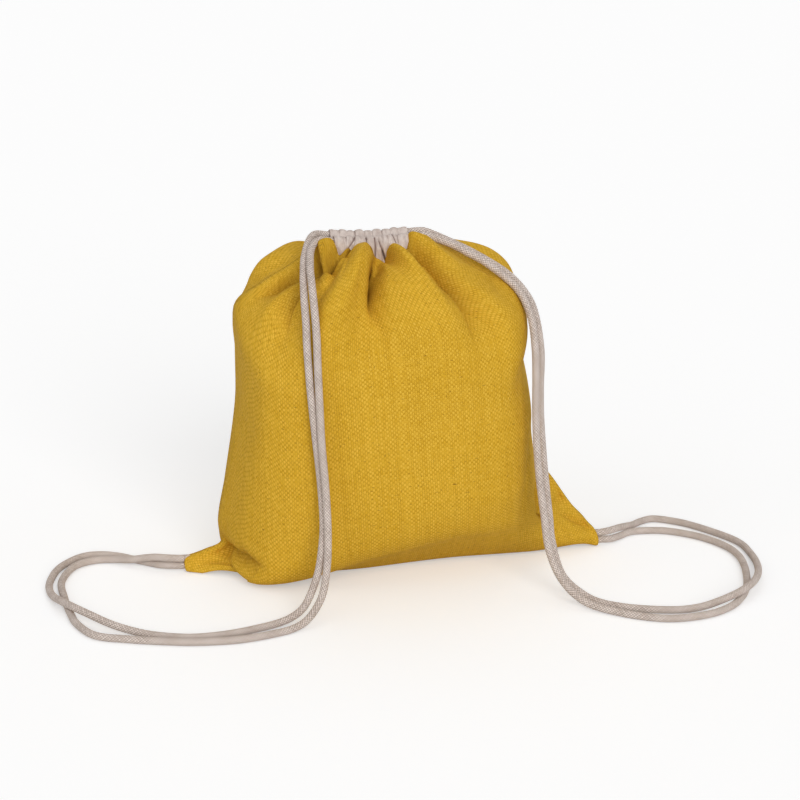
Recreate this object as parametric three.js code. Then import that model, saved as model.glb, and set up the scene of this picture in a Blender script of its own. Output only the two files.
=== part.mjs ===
// A drawstring backpack of coarse jute cloth, standing upright, filled and cinched shut.
// Two flat panels are sewn along the sides and the bottom. A cotton channel is sewn along the top of
// each panel, and two cotton cords run through both channels in opposite directions. Each cord leaves the
// mouth on one side as two strands, which hang as a shoulder strap and end in the bottom corner below.
// +X is to the right of someone who faces the bag's front, the front faces -Y, and +Z is up. The origin
// is on the ground, midway between the tips of the two bottom corners.

import * as THREE from "three";

// Driving dimensions, in millimetres.

const clothWall = 1.6; // jute, as thick as the coarse weave stands
const cottonWall = 1; // the channel's cotton twill
const fitGap = 0.3; // between pieces that touch
const panelTall = 370; // a panel of the flat bag, from the bottom seam to the channel

const cornerReach = 175; // from the middle of the bag to the tip of a corner
const cornerTipTall = 17; // the blunt end of a corner, where the cord goes in
const leftCornerTall = 21; // where the left corner's upper edge meets the filled body
const rightCornerTall = 84;
const cornerHalfThick = 5.2; // a flattened corner, from its middle plane to the outside
const seamRound = 7; // how far from a seam the cloth takes to reach that thickness

const bodyHalfWide = 124;
const bodyHalfDeep = 84;
const baseLift = 26; // how far the front of the bag's base is clear of the ground, but for its left end
const leftFoot = 20; // how far the filling pushes the front out just above the left corner
const backPuff = 16; // how far the back panel's shoulders stand up behind the side seams
const frontPuff = 4;
const shoulderTall = 226; // where the side seam turns in towards the mouth
const neckTall = 270; // the seam between the jute and the channel
const mouthHalfWide = 44;
const mouthHalfDeep = 23.5;
const lean = 19.5; // how far the mouth stands to the left of the bag's middle

const cordRadius = 3;
const tailLength = 26; // of the cord inside a corner

// Each seam's two edges lie this far from the middle plane of the bag.
const seamHalfGap = fitGap / 2;

const lerp = THREE.MathUtils.lerp;
const smoothstep = THREE.MathUtils.smoothstep;

// 1 at a middle place, and 0 from a distance of half on.
const bump = (t, middle, half) => Math.max(1 - ((t - middle) / half) ** 2, 0) ** 2;

// A smooth curve through rows of [place along, value, value, ...], read at t.
function readTable(table, t) {
  let k = 0;
  while (k < table.length - 2 && t > table[k + 1][0]) k++;
  const before = table[Math.max(k - 1, 0)];
  const [from, to] = [table[k], table[k + 1]];
  const after = table[Math.min(k + 2, table.length - 1)];
  const span = to[0] - from[0];
  const s = THREE.MathUtils.clamp((t - from[0]) / span, 0, 1);
  const values = [];
  for (let c = 1; c < from.length; c++) {
    const slopeFrom = ((to[c] - before[c]) / (to[0] - before[0])) * span;
    const slopeTo = ((after[c] - from[c]) / (after[0] - from[0])) * span;
    const s2 = s * s;
    const s3 = s2 * s;
    values.push(
      from[c] * (2 * s3 - 3 * s2 + 1) +
        slopeFrom * (s3 - 2 * s2 + s) +
        to[c] * (3 * s2 - 2 * s3) +
        slopeTo * (s3 - s2),
    );
  }
  return values;
}

// The side seams, from the tip of a corner up to the mouth. Each row holds the share of the panel's
// height, how far the seam is from the middle of the bag and its height. Out and in are shares of the way
// from the body's side to the corner's tip and to the mouth.
const cornerRow = (v, out, tall) => [v, lerp(bodyHalfWide, cornerReach, out), tall];
const bodyRow = (v, wide, tall) => [v, wide * bodyHalfWide, tall * shoulderTall];
const shoulderRow = (v, inward, up) => [
  v,
  lerp(bodyHalfWide, mouthHalfWide, inward),
  lerp(shoulderTall, neckTall, up),
];
const leftSeam = [
  cornerRow(0, 1, 0),
  cornerRow(0.044, 0.97, cornerTipTall),
  cornerRow(0.078, 0.64, 0.9 * leftCornerTall),
  cornerRow(0.115, 0.42, leftCornerTall),
  bodyRow(0.165, 1.14, 0.19),
  bodyRow(0.28, 1.065, 0.37),
  bodyRow(0.46, 0.965, 0.66),
  bodyRow(0.6, 0.93, 0.86),
  shoulderRow(0.67, 0.13, 0),
  shoulderRow(0.75, 0.4, 0.4),
  shoulderRow(0.84, 0.72, 0.76),
  shoulderRow(0.93, 0.92, 0.95),
  shoulderRow(1, 1, 1),
];
const rightSeam = [
  cornerRow(0, 1, 0),
  cornerRow(0.044, 0.95, cornerTipTall),
  cornerRow(0.12, 0.6, 0.46 * rightCornerTall),
  cornerRow(0.21, 0.31, 0.75 * rightCornerTall),
  cornerRow(0.29, 0.04, rightCornerTall),
  bodyRow(0.39, 0.965, 0.53),
  bodyRow(0.5, 0.95, 0.72),
  bodyRow(0.6, 0.945, 0.88),
  shoulderRow(0.68, 0.03, 0),
  shoulderRow(0.76, 0.22, 0.38),
  shoulderRow(0.85, 0.6, 0.75),
  shoulderRow(0.93, 0.86, 0.95),
  shoulderRow(1, 1, 1),
];

// The middle of a panel, from the bottom seam along the ground, up the filled front and in to the mouth.
// Each row holds the share of the panel's height, how far the cloth stands out as a share of the body's
// half depth, and its height as a share of the neck's.
const mouthDepthShare = mouthHalfDeep / bodyHalfDeep;
const middleShares = [
  [0, 0, 0],
  [0.07, 0.3, 0],
  [0.137, 0.58, 0.006],
  [0.187, 0.76, 0.036],
  [0.241, 0.885, 0.098],
  [0.338, 0.97, 0.224],
  [0.476, 1, 0.41],
  [0.6, 0.994, 0.578],
  [0.709, 0.96, 0.728],
  [0.785, 0.895, 0.828],
  [0.851, 0.79, 0.914],
  [0.912, 0.62, 0.978],
  [0.957, 0.45, 1.005],
  [1, mouthDepthShare, 1],
];

// The pleats that the cinched mouth presses into each panel, from left to right. A pleat runs across the
// panel from mouth to body, which are places from -1 to 1, and bends by bow on its way. deep is its depth at
// the mouth as a share of the deepest pleat's, half is half its width there, and end is the share of the
// panel's height where it runs out. A pleat of negative depth is a lobe that stands proud.
const frontPleatShares = [
  { mouth: -0.93, body: -0.55, bow: 0.02, deep: 0.5, half: 0.2, end: 0.62 },
  { mouth: -0.62, body: -0.5, bow: -0.02, deep: 0.8, half: 0.2, end: 0.64 },
  { mouth: -0.03, body: -0.03, bow: -0.12, deep: 0.95, half: 0.16, end: 0.66 },
  { mouth: 0.55, body: 0.36, bow: 0, deep: 0.8, half: 0.18, end: 0.66 },
  { mouth: -0.28, body: -0.25, bow: 0, deep: -0.31, half: 0.2, end: 0.58 },
  { mouth: 0.26, body: 0.14, bow: 0, deep: -0.37, half: 0.26, end: 0.58 },
];
const backPleatShares = [
  { mouth: -0.78, body: -0.52, bow: 0.02, deep: 0.56, half: 0.18, end: 0.66 },
  { mouth: -0.34, body: -0.24, bow: 0, deep: 0.88, half: 0.2, end: 0.6 },
  { mouth: 0.12, body: 0.12, bow: 0.04, deep: 0.81, half: 0.2, end: 0.68 },
  { mouth: 0.52, body: 0.44, bow: -0.03, deep: 0.88, half: 0.19, end: 0.62 },
  { mouth: 0.88, body: 0.7, bow: 0, deep: 0.56, half: 0.15, end: 0.7 },
];
const pleatDeep = 16; // the deepest pleat at the mouth
const pleatsOf = { [-1]: frontPleatShares, [1]: backPleatShares };

function pleatDepth(face, u, v) {
  const puff = face < 0 ? frontPuff : backPuff;
  const beside = smoothstep(Math.abs(u), 0.3, 0.72) * (1 - smoothstep(Math.abs(u), 0.88, 1));
  let depth = -puff * beside * smoothstep(v, 0.66, 0.8) * (1 - smoothstep(v, 0.8, 0.97));
  for (const pleat of pleatsOf[face]) {
    const along = smoothstep(v, pleat.end, 1);
    const middle = lerp(pleat.body, pleat.mouth, along) + pleat.bow * Math.sin(Math.PI * along);
    const off = Math.abs(u - middle) / pleat.half;
    if (off < 1) depth += pleatDeep * pleat.deep * Math.pow(along, 0.55) * Math.pow(1 - off * off, 2);
  }
  return depth;
}

// The outside of a panel before the mouth pleats it. face is -1 for the front and 1 for the back, u runs
// from -1 at the left side seam to 1 at the right one, and v from 0 at the bottom seam to 1 at the mouth.
const boxiness = 0.26; // how square the body's plan is: 0 is an ellipse
const leftPinch = 2; // how fast the panels close on each other towards the corners: 1 is not at all
const rightPinch = 2.3;
const baseRiseShare = 7; // how late the cloth rises from the middle of the panel to its side seam
const bodyRiseShare = 3.4;
const gatherShare = 0.46; // how far the cinched cord draws the cloth together along the mouth
const gatherEndShare = 0.88; // and how far out along it that goes

function smoothPoint(face, u, v) {
  const [reach, seamHeight] = readTable(u < 0 ? leftSeam : rightSeam, v);
  const [depthShare, heightShare] = readTable(middleShares, v);
  const gathered = u * lerp(gatherShare, 1, smoothstep(Math.abs(u), gatherEndShare, 1));
  const turn = lerp(u, gathered, smoothstep(v, 0.8, 1)) * (Math.PI / 2);
  const across = Math.sin(turn) * (1 + boxiness * Math.cos(turn) ** 2);
  const closing = Math.max(Math.cos(turn), 0) * (1 + boxiness * Math.sin(turn) ** 2);
  const leftOpening = lerp(leftPinch, 1, smoothstep(v, 0.06, 0.2));
  const rightOpening = lerp(rightPinch, 1, smoothstep(v, 0.14, 0.36));
  const pinched = Math.pow(closing, u < 0 ? leftOpening : rightOpening);
  const side = Math.pow(Math.abs(u), lerp(baseRiseShare, bodyRiseShare, smoothstep(v, 0.1, 0.4)));
  const liftShare = smoothstep(u, -0.5, 0.22) * smoothstep(v, 0.03, 0.15) * (1 - smoothstep(v, 0.16, 0.5));
  const lift = face < 0 ? baseLift * liftShare : 0;
  const height = Math.max(lerp(heightShare * neckTall, seamHeight, side) + lift * (1 - side), 0);
  const foot = face < 0 ? leftFoot * bump(u, -0.5, 0.42) * bump(v, 0.16, 0.14) : 0;

  // Close to a seam the cloth rounds over from the seam to the corner's thickness.
  const fromSeam = Math.min((1 - Math.abs(u)) * cornerReach, v * panelTall) / seamRound;
  const rounding = Math.sqrt(1 - (1 - Math.min(fromSeam, 1)) ** 2);
  const depth = lerp(seamHalfGap, cornerHalfThick, rounding) + depthShare * bodyHalfDeep * pinched;
  return new THREE.Vector3(reach * across - (lean * height) / neckTall, face * (depth + foot), height);
}

// The outward direction of a surface at (u, v).
const probe = 0.004; // step in u and v for a slope
function normalOf(surface, face, u, v) {
  const uLow = Math.max(u - probe, -1);
  const uHigh = Math.min(u + probe, 1);
  const vLow = Math.max(v - probe, 0);
  const vHigh = Math.min(v + probe, 1);
  const acrossStep = surface(face, uHigh, v).sub(surface(face, uLow, v));
  const upStep = surface(face, u, vHigh).sub(surface(face, u, vLow));
  return acrossStep.cross(upStep).multiplyScalar(-face).normalize();
}

// How far the panels keep from the middle plane of the bag: next to nothing along a seam, and around the
// two cords at the tip of a corner.
function leastDepth(u, v) {
  const up = smoothstep(v, 0, 0.008) * (1 - smoothstep(v, 0.038, 0.055));
  const open = up * smoothstep(Math.abs(u), 0.86, 0.93);
  const outside = cordRadius + 2 * fitGap + clothWall * (1 - smoothstep(Math.abs(u), 0.987, 1));
  return lerp(seamHalfGap, outside, open);
}

function panelPoint(face, u, v) {
  const point = smoothPoint(face, u, v);
  const pleat = pleatDepth(face, u, v) * smoothstep(1 - Math.abs(u), 0, 0.06);
  if (pleat !== 0) {
    const inward = normalOf(smoothPoint, face, u, v);
    inward.z *= 1 - smoothstep(v, 0.92, 1);
    point.addScaledVector(inward, -pleat);
    point.y -= face * pleat * 0.5 * smoothstep(v, 0.88, 1);
  }
  point.y = face * Math.max(face * point.y, leastDepth(u, v));
  return point;
}

// The inside of a panel, which never crosses the middle plane of the bag or the ground.
function panelInside(face, u, v) {
  const normal = normalOf(panelPoint, face, u, v);
  if (Math.abs(u) === 1 || v === 0) normal.setY(0).normalize();
  const point = panelPoint(face, u, v).addScaledVector(normal, -clothWall);
  point.y = face * Math.max(face * point.y, seamHalfGap);
  point.z = Math.max(point.z, fitGap);
  return point;
}

// A closed wall between two grids of points, outside[row][column] and inside[row][column].
function wallBetween(outside, inside, flipped) {
  const rows = outside.length;
  const columns = outside[0].length;
  const points = [...outside.flat(), ...inside.flat()];
  const outer = (r, c) => r * columns + c;
  const inner = (r, c) => rows * columns + r * columns + c;
  const triangles = [];
  const quad = (a, b, c, d) => triangles.push(flipped ? [a, c, b, a, d, c] : [a, b, c, a, c, d]);
  for (let r = 0; r + 1 < rows; r++) {
    for (let c = 0; c + 1 < columns; c++) {
      quad(outer(r, c), outer(r, c + 1), outer(r + 1, c + 1), outer(r + 1, c));
      quad(inner(r, c), inner(r + 1, c), inner(r + 1, c + 1), inner(r, c + 1));
    }
  }
  for (let c = 0; c + 1 < columns; c++) {
    const last = rows - 1;
    quad(outer(0, c), inner(0, c), inner(0, c + 1), outer(0, c + 1));
    quad(outer(last, c), outer(last, c + 1), inner(last, c + 1), inner(last, c));
  }
  for (let r = 0; r + 1 < rows; r++) {
    const last = columns - 1;
    quad(outer(r, 0), outer(r + 1, 0), inner(r + 1, 0), inner(r, 0));
    quad(outer(r, last), inner(r, last), inner(r + 1, last), outer(r + 1, last));
  }
  return geometryOf(points, triangles.flat());
}

function geometryOf(points, indices) {
  const positions = new Float32Array(points.flatMap((p) => [p.x, p.y, p.z]));
  const geometry = new THREE.BufferGeometry();
  geometry.setAttribute("position", new THREE.BufferAttribute(positions, 3));
  geometry.setIndex(indices);
  geometry.computeVertexNormals();
  return geometry;
}

// Stations across a panel and up it, closer together along the seams and at the mouth, where it bends
// most.
const halfShares = [
  0.05, 0.13, 0.2, 0.27, 0.34, 0.42, 0.5, 0.58, 0.66, 0.74, 0.82, 0.88, 0.93, 0.965, 0.987, 1,
];
const acrossShares = [...halfShares.map((u) => -u).reverse(), ...halfShares];
const upShares = [
  0, 0.006, 0.014, 0.026, 0.044, 0.07, 0.1, 0.137, 0.165, 0.2, 0.241, 0.297, 0.37, 0.45, 0.53, 0.6, 0.66,
  0.71, 0.76, 0.8, 0.84, 0.875, 0.91, 0.94, 0.97, 1,
];

function panel(face) {
  const outside = upShares.map((v) => acrossShares.map((u) => panelPoint(face, u, v)));
  const inside = upShares.map((v) => acrossShares.map((u) => panelInside(face, u, v)));
  return wallBetween(outside, inside, face > 0);
}

// A channel is a cotton tube along the top edge of its panel, open at both ends. Its section is drawn
// tight around the two cords that it holds and a tongue that is sewn to the panel's edge.
const cordSpacing = 6.6; // between the middle lines of the two cords in a channel
const mouthHalfGap = 3.4; // from the middle plane of the bag to the channel
const channelRadius = cordSpacing / 2 + cordRadius + 2 * fitGap + cottonWall;
const channelRise = 3.5; // of the middle of the two cords over the seam below the channel
const channelHeight = neckTall + channelRise;
const tongueRadius = 1.5;
const tongueGap = 0.5; // from the tongue to the panel's edge
const gatherBulge = 0.9; // how far the cotton stands out between the gathers
const channelEndShare = 0.9; // where the channel stops short of the side seams, across the panel
const tongueSides = 3;
const roundSides = 9;

function channelSection(face, u, inset, bulge) {
  const rim = panelPoint(face, u, 1);
  const rimInside = panelInside(face, u, 1);
  const round = {
    y: mouthHalfGap + channelRadius,
    z: channelHeight + bulge,
    r: channelRadius + bulge - inset,
  };
  const tongue = {
    y: (face * (rim.y + rimInside.y)) / 2,
    z: Math.max(rim.z, rimInside.z) + tongueGap + tongueRadius,
    r: tongueRadius - inset,
  };
  // The two lines that touch both circles leave them at these angles.
  const apart = Math.hypot(tongue.y - round.y, tongue.z - round.z);
  const toTongue = Math.atan2(tongue.z - round.z, tongue.y - round.y);
  const touch = Math.acos(Math.min((round.r - tongue.r) / apart, 1));
  const arc = (circle, from, to, count) =>
    Array.from({ length: count }, (_, k) => {
      const angle = lerp(from, to, k / (count - 1));
      const y = circle.y + circle.r * Math.cos(angle);
      return new THREE.Vector3(rim.x, face * y, circle.z + circle.r * Math.sin(angle));
    });
  return [
    ...arc(tongue, toTongue - touch, toTongue + touch, tongueSides),
    ...arc(round, toTongue + touch, toTongue + 2 * Math.PI - touch, roundSides),
  ];
}

const channelShares = acrossShares.filter((u) => Math.abs(u) < channelEndShare);

function channel(face) {
  const bulge = (k) => (k % 2 === 1 ? gatherBulge : 0);
  const rings = (inset) => channelShares.map((u, k) => channelSection(face, u, inset, bulge(k)));
  return tubeWall(rings(0), rings(cottonWall), face > 0);
}

// A tube with a bore from rings of points, outside[ring][side] and inside[ring][side].
function tubeWall(outside, inside, flipped) {
  const rings = outside.length;
  const sides = outside[0].length;
  const points = [...outside.flat(), ...inside.flat()];
  const outer = (r, k) => r * sides + (k % sides);
  const inner = (r, k) => rings * sides + r * sides + (k % sides);
  const triangles = [];
  const quad = (a, b, c, d) => triangles.push(flipped ? [a, b, c, a, c, d] : [a, c, b, a, d, c]);
  for (let r = 0; r + 1 < rings; r++) {
    for (let k = 0; k < sides; k++) {
      quad(outer(r, k), outer(r, k + 1), outer(r + 1, k + 1), outer(r + 1, k));
      quad(inner(r, k), inner(r + 1, k), inner(r + 1, k + 1), inner(r, k + 1));
    }
  }
  for (let k = 0; k < sides; k++) {
    const last = rings - 1;
    quad(outer(0, k), inner(0, k), inner(0, k + 1), outer(0, k + 1));
    quad(outer(last, k), outer(last, k + 1), inner(last, k + 1), inner(last, k));
  }
  return geometryOf(points, triangles.flat());
}

// A cord, or another strip of one section, along a smooth curve through points.
function sweep(points, section, steps) {
  const extrudePath = new THREE.CatmullRomCurve3(points, false, "centripetal");
  return new THREE.ExtrudeGeometry(section, { extrudePath, steps, bevelEnabled: false });
}

const cordSides = 8;
const cordSection = new THREE.Shape(
  Array.from({ length: cordSides }, (_, k) => {
    const angle = (2 * Math.PI * (k + 0.5)) / cordSides;
    return new THREE.Vector2(cordRadius * Math.cos(angle), cordRadius * Math.sin(angle));
  }),
);

// Inside the channels. side is -1 for the cord whose strands leave the mouth on the left and 1 for the
// other. Each cord is the upper one where its strands leave, winds half a turn round the other on its way
// through a channel, and turns back round the far end of the mouth as the lower one.
const channelMiddle = mouthHalfGap + channelRadius;
const channelEnd = (face, side) => panelPoint(face, side * Math.max(...channelShares), 1).x;
const upperCord = channelHeight + cordSpacing / 2;
const lowerCord = channelHeight - cordSpacing / 2;
const bightReach = 8; // how far a cord stands out of the channels where it turns back
const runLeadShare = 0.13; // of a channel, straight at each end
const runPoints = 9;
const bightPoints = 5;
const runSteps = 44;

function cordRun(side) {
  const through = (face, from, to, turnFrom, turnTo) =>
    Array.from({ length: runPoints }, (_, k) => {
      const along = k / (runPoints - 1);
      const turn = lerp(turnFrom, turnTo, smoothstep(along, runLeadShare, 1 - runLeadShare));
      return new THREE.Vector3(
        lerp(from, to, along),
        face * channelMiddle + (face * side * cordSpacing * Math.cos(turn)) / 2,
        channelHeight + (cordSpacing / 2) * Math.sin(turn),
      );
    });
  const frontFar = channelEnd(-1, -side);
  const backFar = channelEnd(1, -side);
  const bight = Array.from({ length: bightPoints }, (_, k) => {
    const turn = (Math.PI * (k + 1)) / (bightPoints + 1);
    return new THREE.Vector3(
      lerp(frontFar, backFar, 0.5) - side * bightReach * Math.sin(turn),
      -channelMiddle * Math.cos(turn),
      lowerCord,
    );
  });
  const front = through(-1, channelEnd(-1, side), frontFar, Math.PI / 2, -Math.PI / 2);
  const back = through(1, backFar, channelEnd(1, side), -Math.PI / 2, Math.PI / 2);
  return sweep([...front, ...bight, ...back], cordSection, runSteps);
}

// The strands. Each leaves the end of its channel, lies over the bag's shoulder, hangs in front of the
// bag, and lies in one loose loop on the ground that ends in the tip of the corner on its own side. The
// points between are places of the cord's middle line, and the strands of a pair keep clear of each other.
const cornerCordLow = 5.1; // height of the lower of the two cords in the tip of a corner
const cornerCordHigh = cornerCordLow + 2 * cordRadius + fitGap;

const leftBackRoute = [
  [-57, 10.4, 277.6], [-63, 6.5, 278.8], [-68, 0, 277], [-75.5, -20.5, 268], [-79, -38.5, 259],
  [-81.5, -59, 243], [-82, -71.5, 226], [-82.5, -79.5, 208.5], [-82, -85, 189.5], [-81, -88.5, 170.5],
  [-78, -92, 135.5], [-75, -94.5, 101.5], [-74, -99, 68.5], [-76.5, -103.5, 47], [-80.5, -108.5, 31],
  [-92.5, -121, 11], [-102, -128, 6], [-113, -133.5, 3.8], [-133.5, -142, 3.2], [-158.5, -149.5, 3.2],
  [-186, -150.5, 3.2], [-214, -140, 3.2], [-229, -130.5, 4], [-243.5, -120, 6], [-265, -98, 9.9],
  [-273.5, -84.5, 9.8], [-280.5, -68, 7.8], [-285.5, -49.5, 5], [-287.5, -32, 3.5], [-286.5, -14.5, 3.2],
  [-277, 17.5, 3.2], [-257.5, 40, 3.2], [-244, 42.5, 3.2], [-229, 37, 3.2], [-210, 21.5, 3.2],
  [-194, 7.5, 3.9],
];
const leftFrontRoute = [
  [-62, -11.5, 278], [-67, -14, 276], [-70.5, -21, 272.5], [-74.5, -44, 262], [-75, -55.5, 253.5],
  [-75, -72.5, 231.5], [-75, -79.5, 218], [-75.5, -88.5, 191], [-75, -93.5, 161], [-74.5, -97, 137],
  [-72.5, -101, 104.5], [-71.5, -103.5, 81], [-71.5, -106.5, 58.5], [-73.5, -112.5, 37.5],
  [-79.5, -124, 18.5], [-93, -139, 6.5], [-104.5, -147, 3.5], [-123, -155, 3.2], [-150, -161.5, 3.2],
  [-180, -160.5, 3.2], [-199, -156.5, 3.2], [-233, -145.5, 3.2], [-256.5, -134, 3.2],
  [-269.5, -107.5, 3.2], [-273, -88, 3.2], [-276.5, -50, 3.2], [-277, -15, 3.2], [-265.5, 17.5, 3.2],
  [-255.5, 26.5, 3.2], [-243.5, 30, 3.2], [-230.5, 26.5, 4], [-219, 19, 5.8], [-209, 13.5, 8.6],
  [-199, 8, 10.8], [-189, 2.7, 11.4],
];
const rightBackRoute = [
  [26, 11, 277], [34, 11, 274], [47, 10, 268], [67, 2, 258.5], [92.5, -14, 243], [104, -27.5, 229.5],
  [108, -37.5, 218.5], [110, -54, 190], [108, -62.5, 161.5], [107.5, -67, 140], [108.5, -74.5, 108],
  [110, -79, 85], [112, -85.5, 58], [112.5, -92, 42], [118.5, -108, 17], [132.5, -126, 6],
  [142, -136, 3.6], [154, -145.5, 3.2], [169, -153.5, 3.2],
  [186, -159, 3.2], [203, -161.5, 3.2], [220, -161, 4.6], [247, -152.5, 9], [266.5, -135, 9.5],
  [277.5, -117.5, 8.5], [286, -96.5, 6.5], [292, -71.5, 4.5], [294.5, -48, 3.2], [294, -28.5, 3.2],
  [289, -12.5, 3.2], [269, 20.5, 3.2], [256.5, 35, 3.2], [236.5, 47, 3.2], [225, 42, 3.4],
  [214, 31, 4.6], [204, 20.5, 7.6], [195, 11, 10], [186, 3, 11.3],
];
const rightFrontRoute = [
  [24, -9, 277.8], [31, -6, 275], [46, -7, 269], [59, -13.5, 262.5], [72.5, -19, 255], [95, -31, 236],
  [103, -45, 217.5], [104, -60, 193], [103, -68, 173], [101.5, -76, 143], [102, -82.5, 109],
  [103.5, -86.5, 88], [105.5, -92.5, 66], [108, -104, 36.5], [115.5, -121, 17], [129.5, -140, 6],
  [153.5, -160, 3.2], [169, -170.5, 3.2], [186, -177.5, 3.2], [204.5, -178, 3.2], [225.5, -172.5, 3.2],
  [243, -161, 3.2], [256.5, -144.5, 3.2], [267, -124.5, 3.2], [275, -100, 3.2], [280.5, -76.5, 3.2],
  [283, -55.5, 3.2], [281, -36.5, 3.2], [274.5, -20, 3.2], [264.5, -4.5, 3.2], [250, 9, 3.2],
  [235.5, 17, 3.2], [210, 18.5, 3.2], [198, 10.5, 3.2], [187, 2.2, 4.2],
];
const strandSteps = 68;

// The tip of a corner, which leans with the rest of the bag.
const tipAt = (side, height) => side * cornerReach - (lean * height) / neckTall;

function strand(face, side, route, cornerHeight) {
  const start = new THREE.Vector3(channelEnd(face, side) + side * fitGap, face * channelMiddle, upperCord);
  const end = new THREE.Vector3(tipAt(side, cornerHeight) + side * fitGap, 0, cornerHeight);
  const lead = side * cordRadius;
  const points = [
    start,
    start.clone().setX(start.x + lead),
    ...route.map((place) => new THREE.Vector3(...place)),
    end.clone().setX(end.x + lead),
    end,
  ];
  return sweep(points, cordSection, strandSteps);
}

const tailSteps = 2;
function tail(side, cornerHeight) {
  const tip = tipAt(side, cornerHeight);
  const points = [tip, tip - side * tailLength].map((x) => new THREE.Vector3(x, 0, cornerHeight));
  return sweep(points, cordSection, tailSteps);
}

// The overlocked seam allowances, which stand inside the bag along its seams.
const overlockWide = 7;
const overlockThick = 1.4;
const overlockGap = 0.6; // from the inside of the seam
const overlockHalfLong = 126; // of the one along the bottom
const overlockEndShare = 0.95; // where those along the sides stop, up the panel

function sideOverlock(side, startShare) {
  const places = upShares.filter((v) => v > startShare && v < overlockEndShare);
  const rows = places.map((v) => {
    const seam = panelPoint(-1, side, v).setY(0);
    const outward = normalOf(panelPoint, -1, side, v).setY(0).normalize();
    const outerEdge = seam.clone().addScaledVector(outward, -clothWall - overlockGap);
    const innerEdge = outerEdge.clone().addScaledVector(outward, -overlockWide);
    return [outerEdge, innerEdge];
  });
  return strip(rows, side > 0);
}

function bottomOverlock() {
  const rows = [-overlockHalfLong, overlockHalfLong].map((x) => [
    new THREE.Vector3(x, 0, clothWall + overlockGap),
    new THREE.Vector3(x, 0, clothWall + overlockGap + overlockWide),
  ]);
  return strip(rows, true);
}

// A strip of the overlock's thickness between two edges, given as rows of [outer edge, inner edge].
function strip(rows, flipped) {
  const ring = ([outerEdge, innerEdge]) =>
    [
      [outerEdge, -1],
      [innerEdge, -1],
      [innerEdge, 1],
      [outerEdge, 1],
    ].map(([edge, face]) => edge.clone().setY((face * overlockThick) / 2));
  const rings = rows.map(ring);
  const points = rings.flat();
  const corners = 4;
  const index = (r, k) => r * corners + (k % corners);
  const triangles = [];
  const triangle = (a, b, c) => (flipped ? triangles.push(a, c, b) : triangles.push(a, b, c));
  for (let r = 0; r + 1 < rings.length; r++) {
    for (let k = 0; k < corners; k++) {
      triangle(index(r, k), index(r, k + 1), index(r + 1, k + 1));
      triangle(index(r, k), index(r + 1, k + 1), index(r + 1, k));
    }
  }
  const last = rings.length - 1;
  triangle(index(0, 0), index(0, 3), index(0, 2));
  triangle(index(0, 0), index(0, 2), index(0, 1));
  triangle(index(last, 0), index(last, 1), index(last, 2));
  triangle(index(last, 0), index(last, 2), index(last, 3));
  return geometryOf(points, triangles);
}

const cloth = (name, color, roughness) =>
  new THREE.MeshStandardMaterial({ name, color, roughness, metalness: 0 });
const jute = cloth("jute", 0xce9f26, 0.9);
const cotton = cloth("cotton", 0xdfd3ca, 0.85);
const cord = cloth("cord", 0xd8ccc6, 0.85);
const thread = cloth("thread", 0xd2a63c, 0.7);

const backpack = new THREE.Group();

function add(name, geometry, material) {
  const mesh = new THREE.Mesh(geometry, material);
  mesh.name = name;
  backpack.add(mesh);
}

add("front_panel", panel(-1), jute);
add("back_panel", panel(1), jute);
add("front_channel", channel(-1), cotton);
add("back_channel", channel(1), cotton);
add("left_cord_channel_run", cordRun(-1), cord);
add("right_cord_channel_run", cordRun(1), cord);
add("left_strap_front_strand", strand(-1, -1, leftFrontRoute, cornerCordHigh), cord);
add("left_strap_back_strand", strand(1, -1, leftBackRoute, cornerCordLow), cord);
add("right_strap_front_strand", strand(-1, 1, rightFrontRoute, cornerCordLow), cord);
add("right_strap_back_strand", strand(1, 1, rightBackRoute, cornerCordHigh), cord);
add("left_front_cord_tail", tail(-1, cornerCordHigh), cord);
add("left_back_cord_tail", tail(-1, cornerCordLow), cord);
add("right_front_cord_tail", tail(1, cornerCordLow), cord);
add("right_back_cord_tail", tail(1, cornerCordHigh), cord);
add("left_side_overlock", sideOverlock(-1, 0.15), thread);
add("right_side_overlock", sideOverlock(1, 0.12), thread);
add("bottom_overlock", bottomOverlock(), thread);

export default backpack;
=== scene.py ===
# %% [markdown]
# A drawstring backpack of coarse yellow jute, filled and cinched shut. Two flat panels are sewn along the
# sides and the bottom. A cotton casing runs along the top edge of each panel, and two braided cotton
# cords run through both. This lesson gives every soft piece a surface worked out with numpy and a woven,
# twilled or braided finish.

# %% The shared frame and its units
import bpy
import numpy as np
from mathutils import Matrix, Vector


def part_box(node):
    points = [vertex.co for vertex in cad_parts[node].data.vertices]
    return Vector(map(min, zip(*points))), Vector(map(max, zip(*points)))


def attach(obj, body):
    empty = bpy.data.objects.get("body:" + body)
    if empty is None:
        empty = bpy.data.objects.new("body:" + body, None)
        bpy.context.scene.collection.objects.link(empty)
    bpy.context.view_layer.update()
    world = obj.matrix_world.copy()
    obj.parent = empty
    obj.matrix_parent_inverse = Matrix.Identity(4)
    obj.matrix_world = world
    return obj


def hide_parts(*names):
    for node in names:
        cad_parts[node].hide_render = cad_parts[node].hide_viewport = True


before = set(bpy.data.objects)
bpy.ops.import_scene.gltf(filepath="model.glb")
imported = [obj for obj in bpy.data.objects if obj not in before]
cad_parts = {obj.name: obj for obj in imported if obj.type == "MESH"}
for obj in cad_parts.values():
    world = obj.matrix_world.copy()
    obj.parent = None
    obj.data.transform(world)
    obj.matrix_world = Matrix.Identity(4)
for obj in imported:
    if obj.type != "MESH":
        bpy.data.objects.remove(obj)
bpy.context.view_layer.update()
scene = bpy.context.scene
scene.view_settings.view_transform = "Standard"
MM = 0.001
print("The frame has", len(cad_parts), "nodes")


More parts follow.
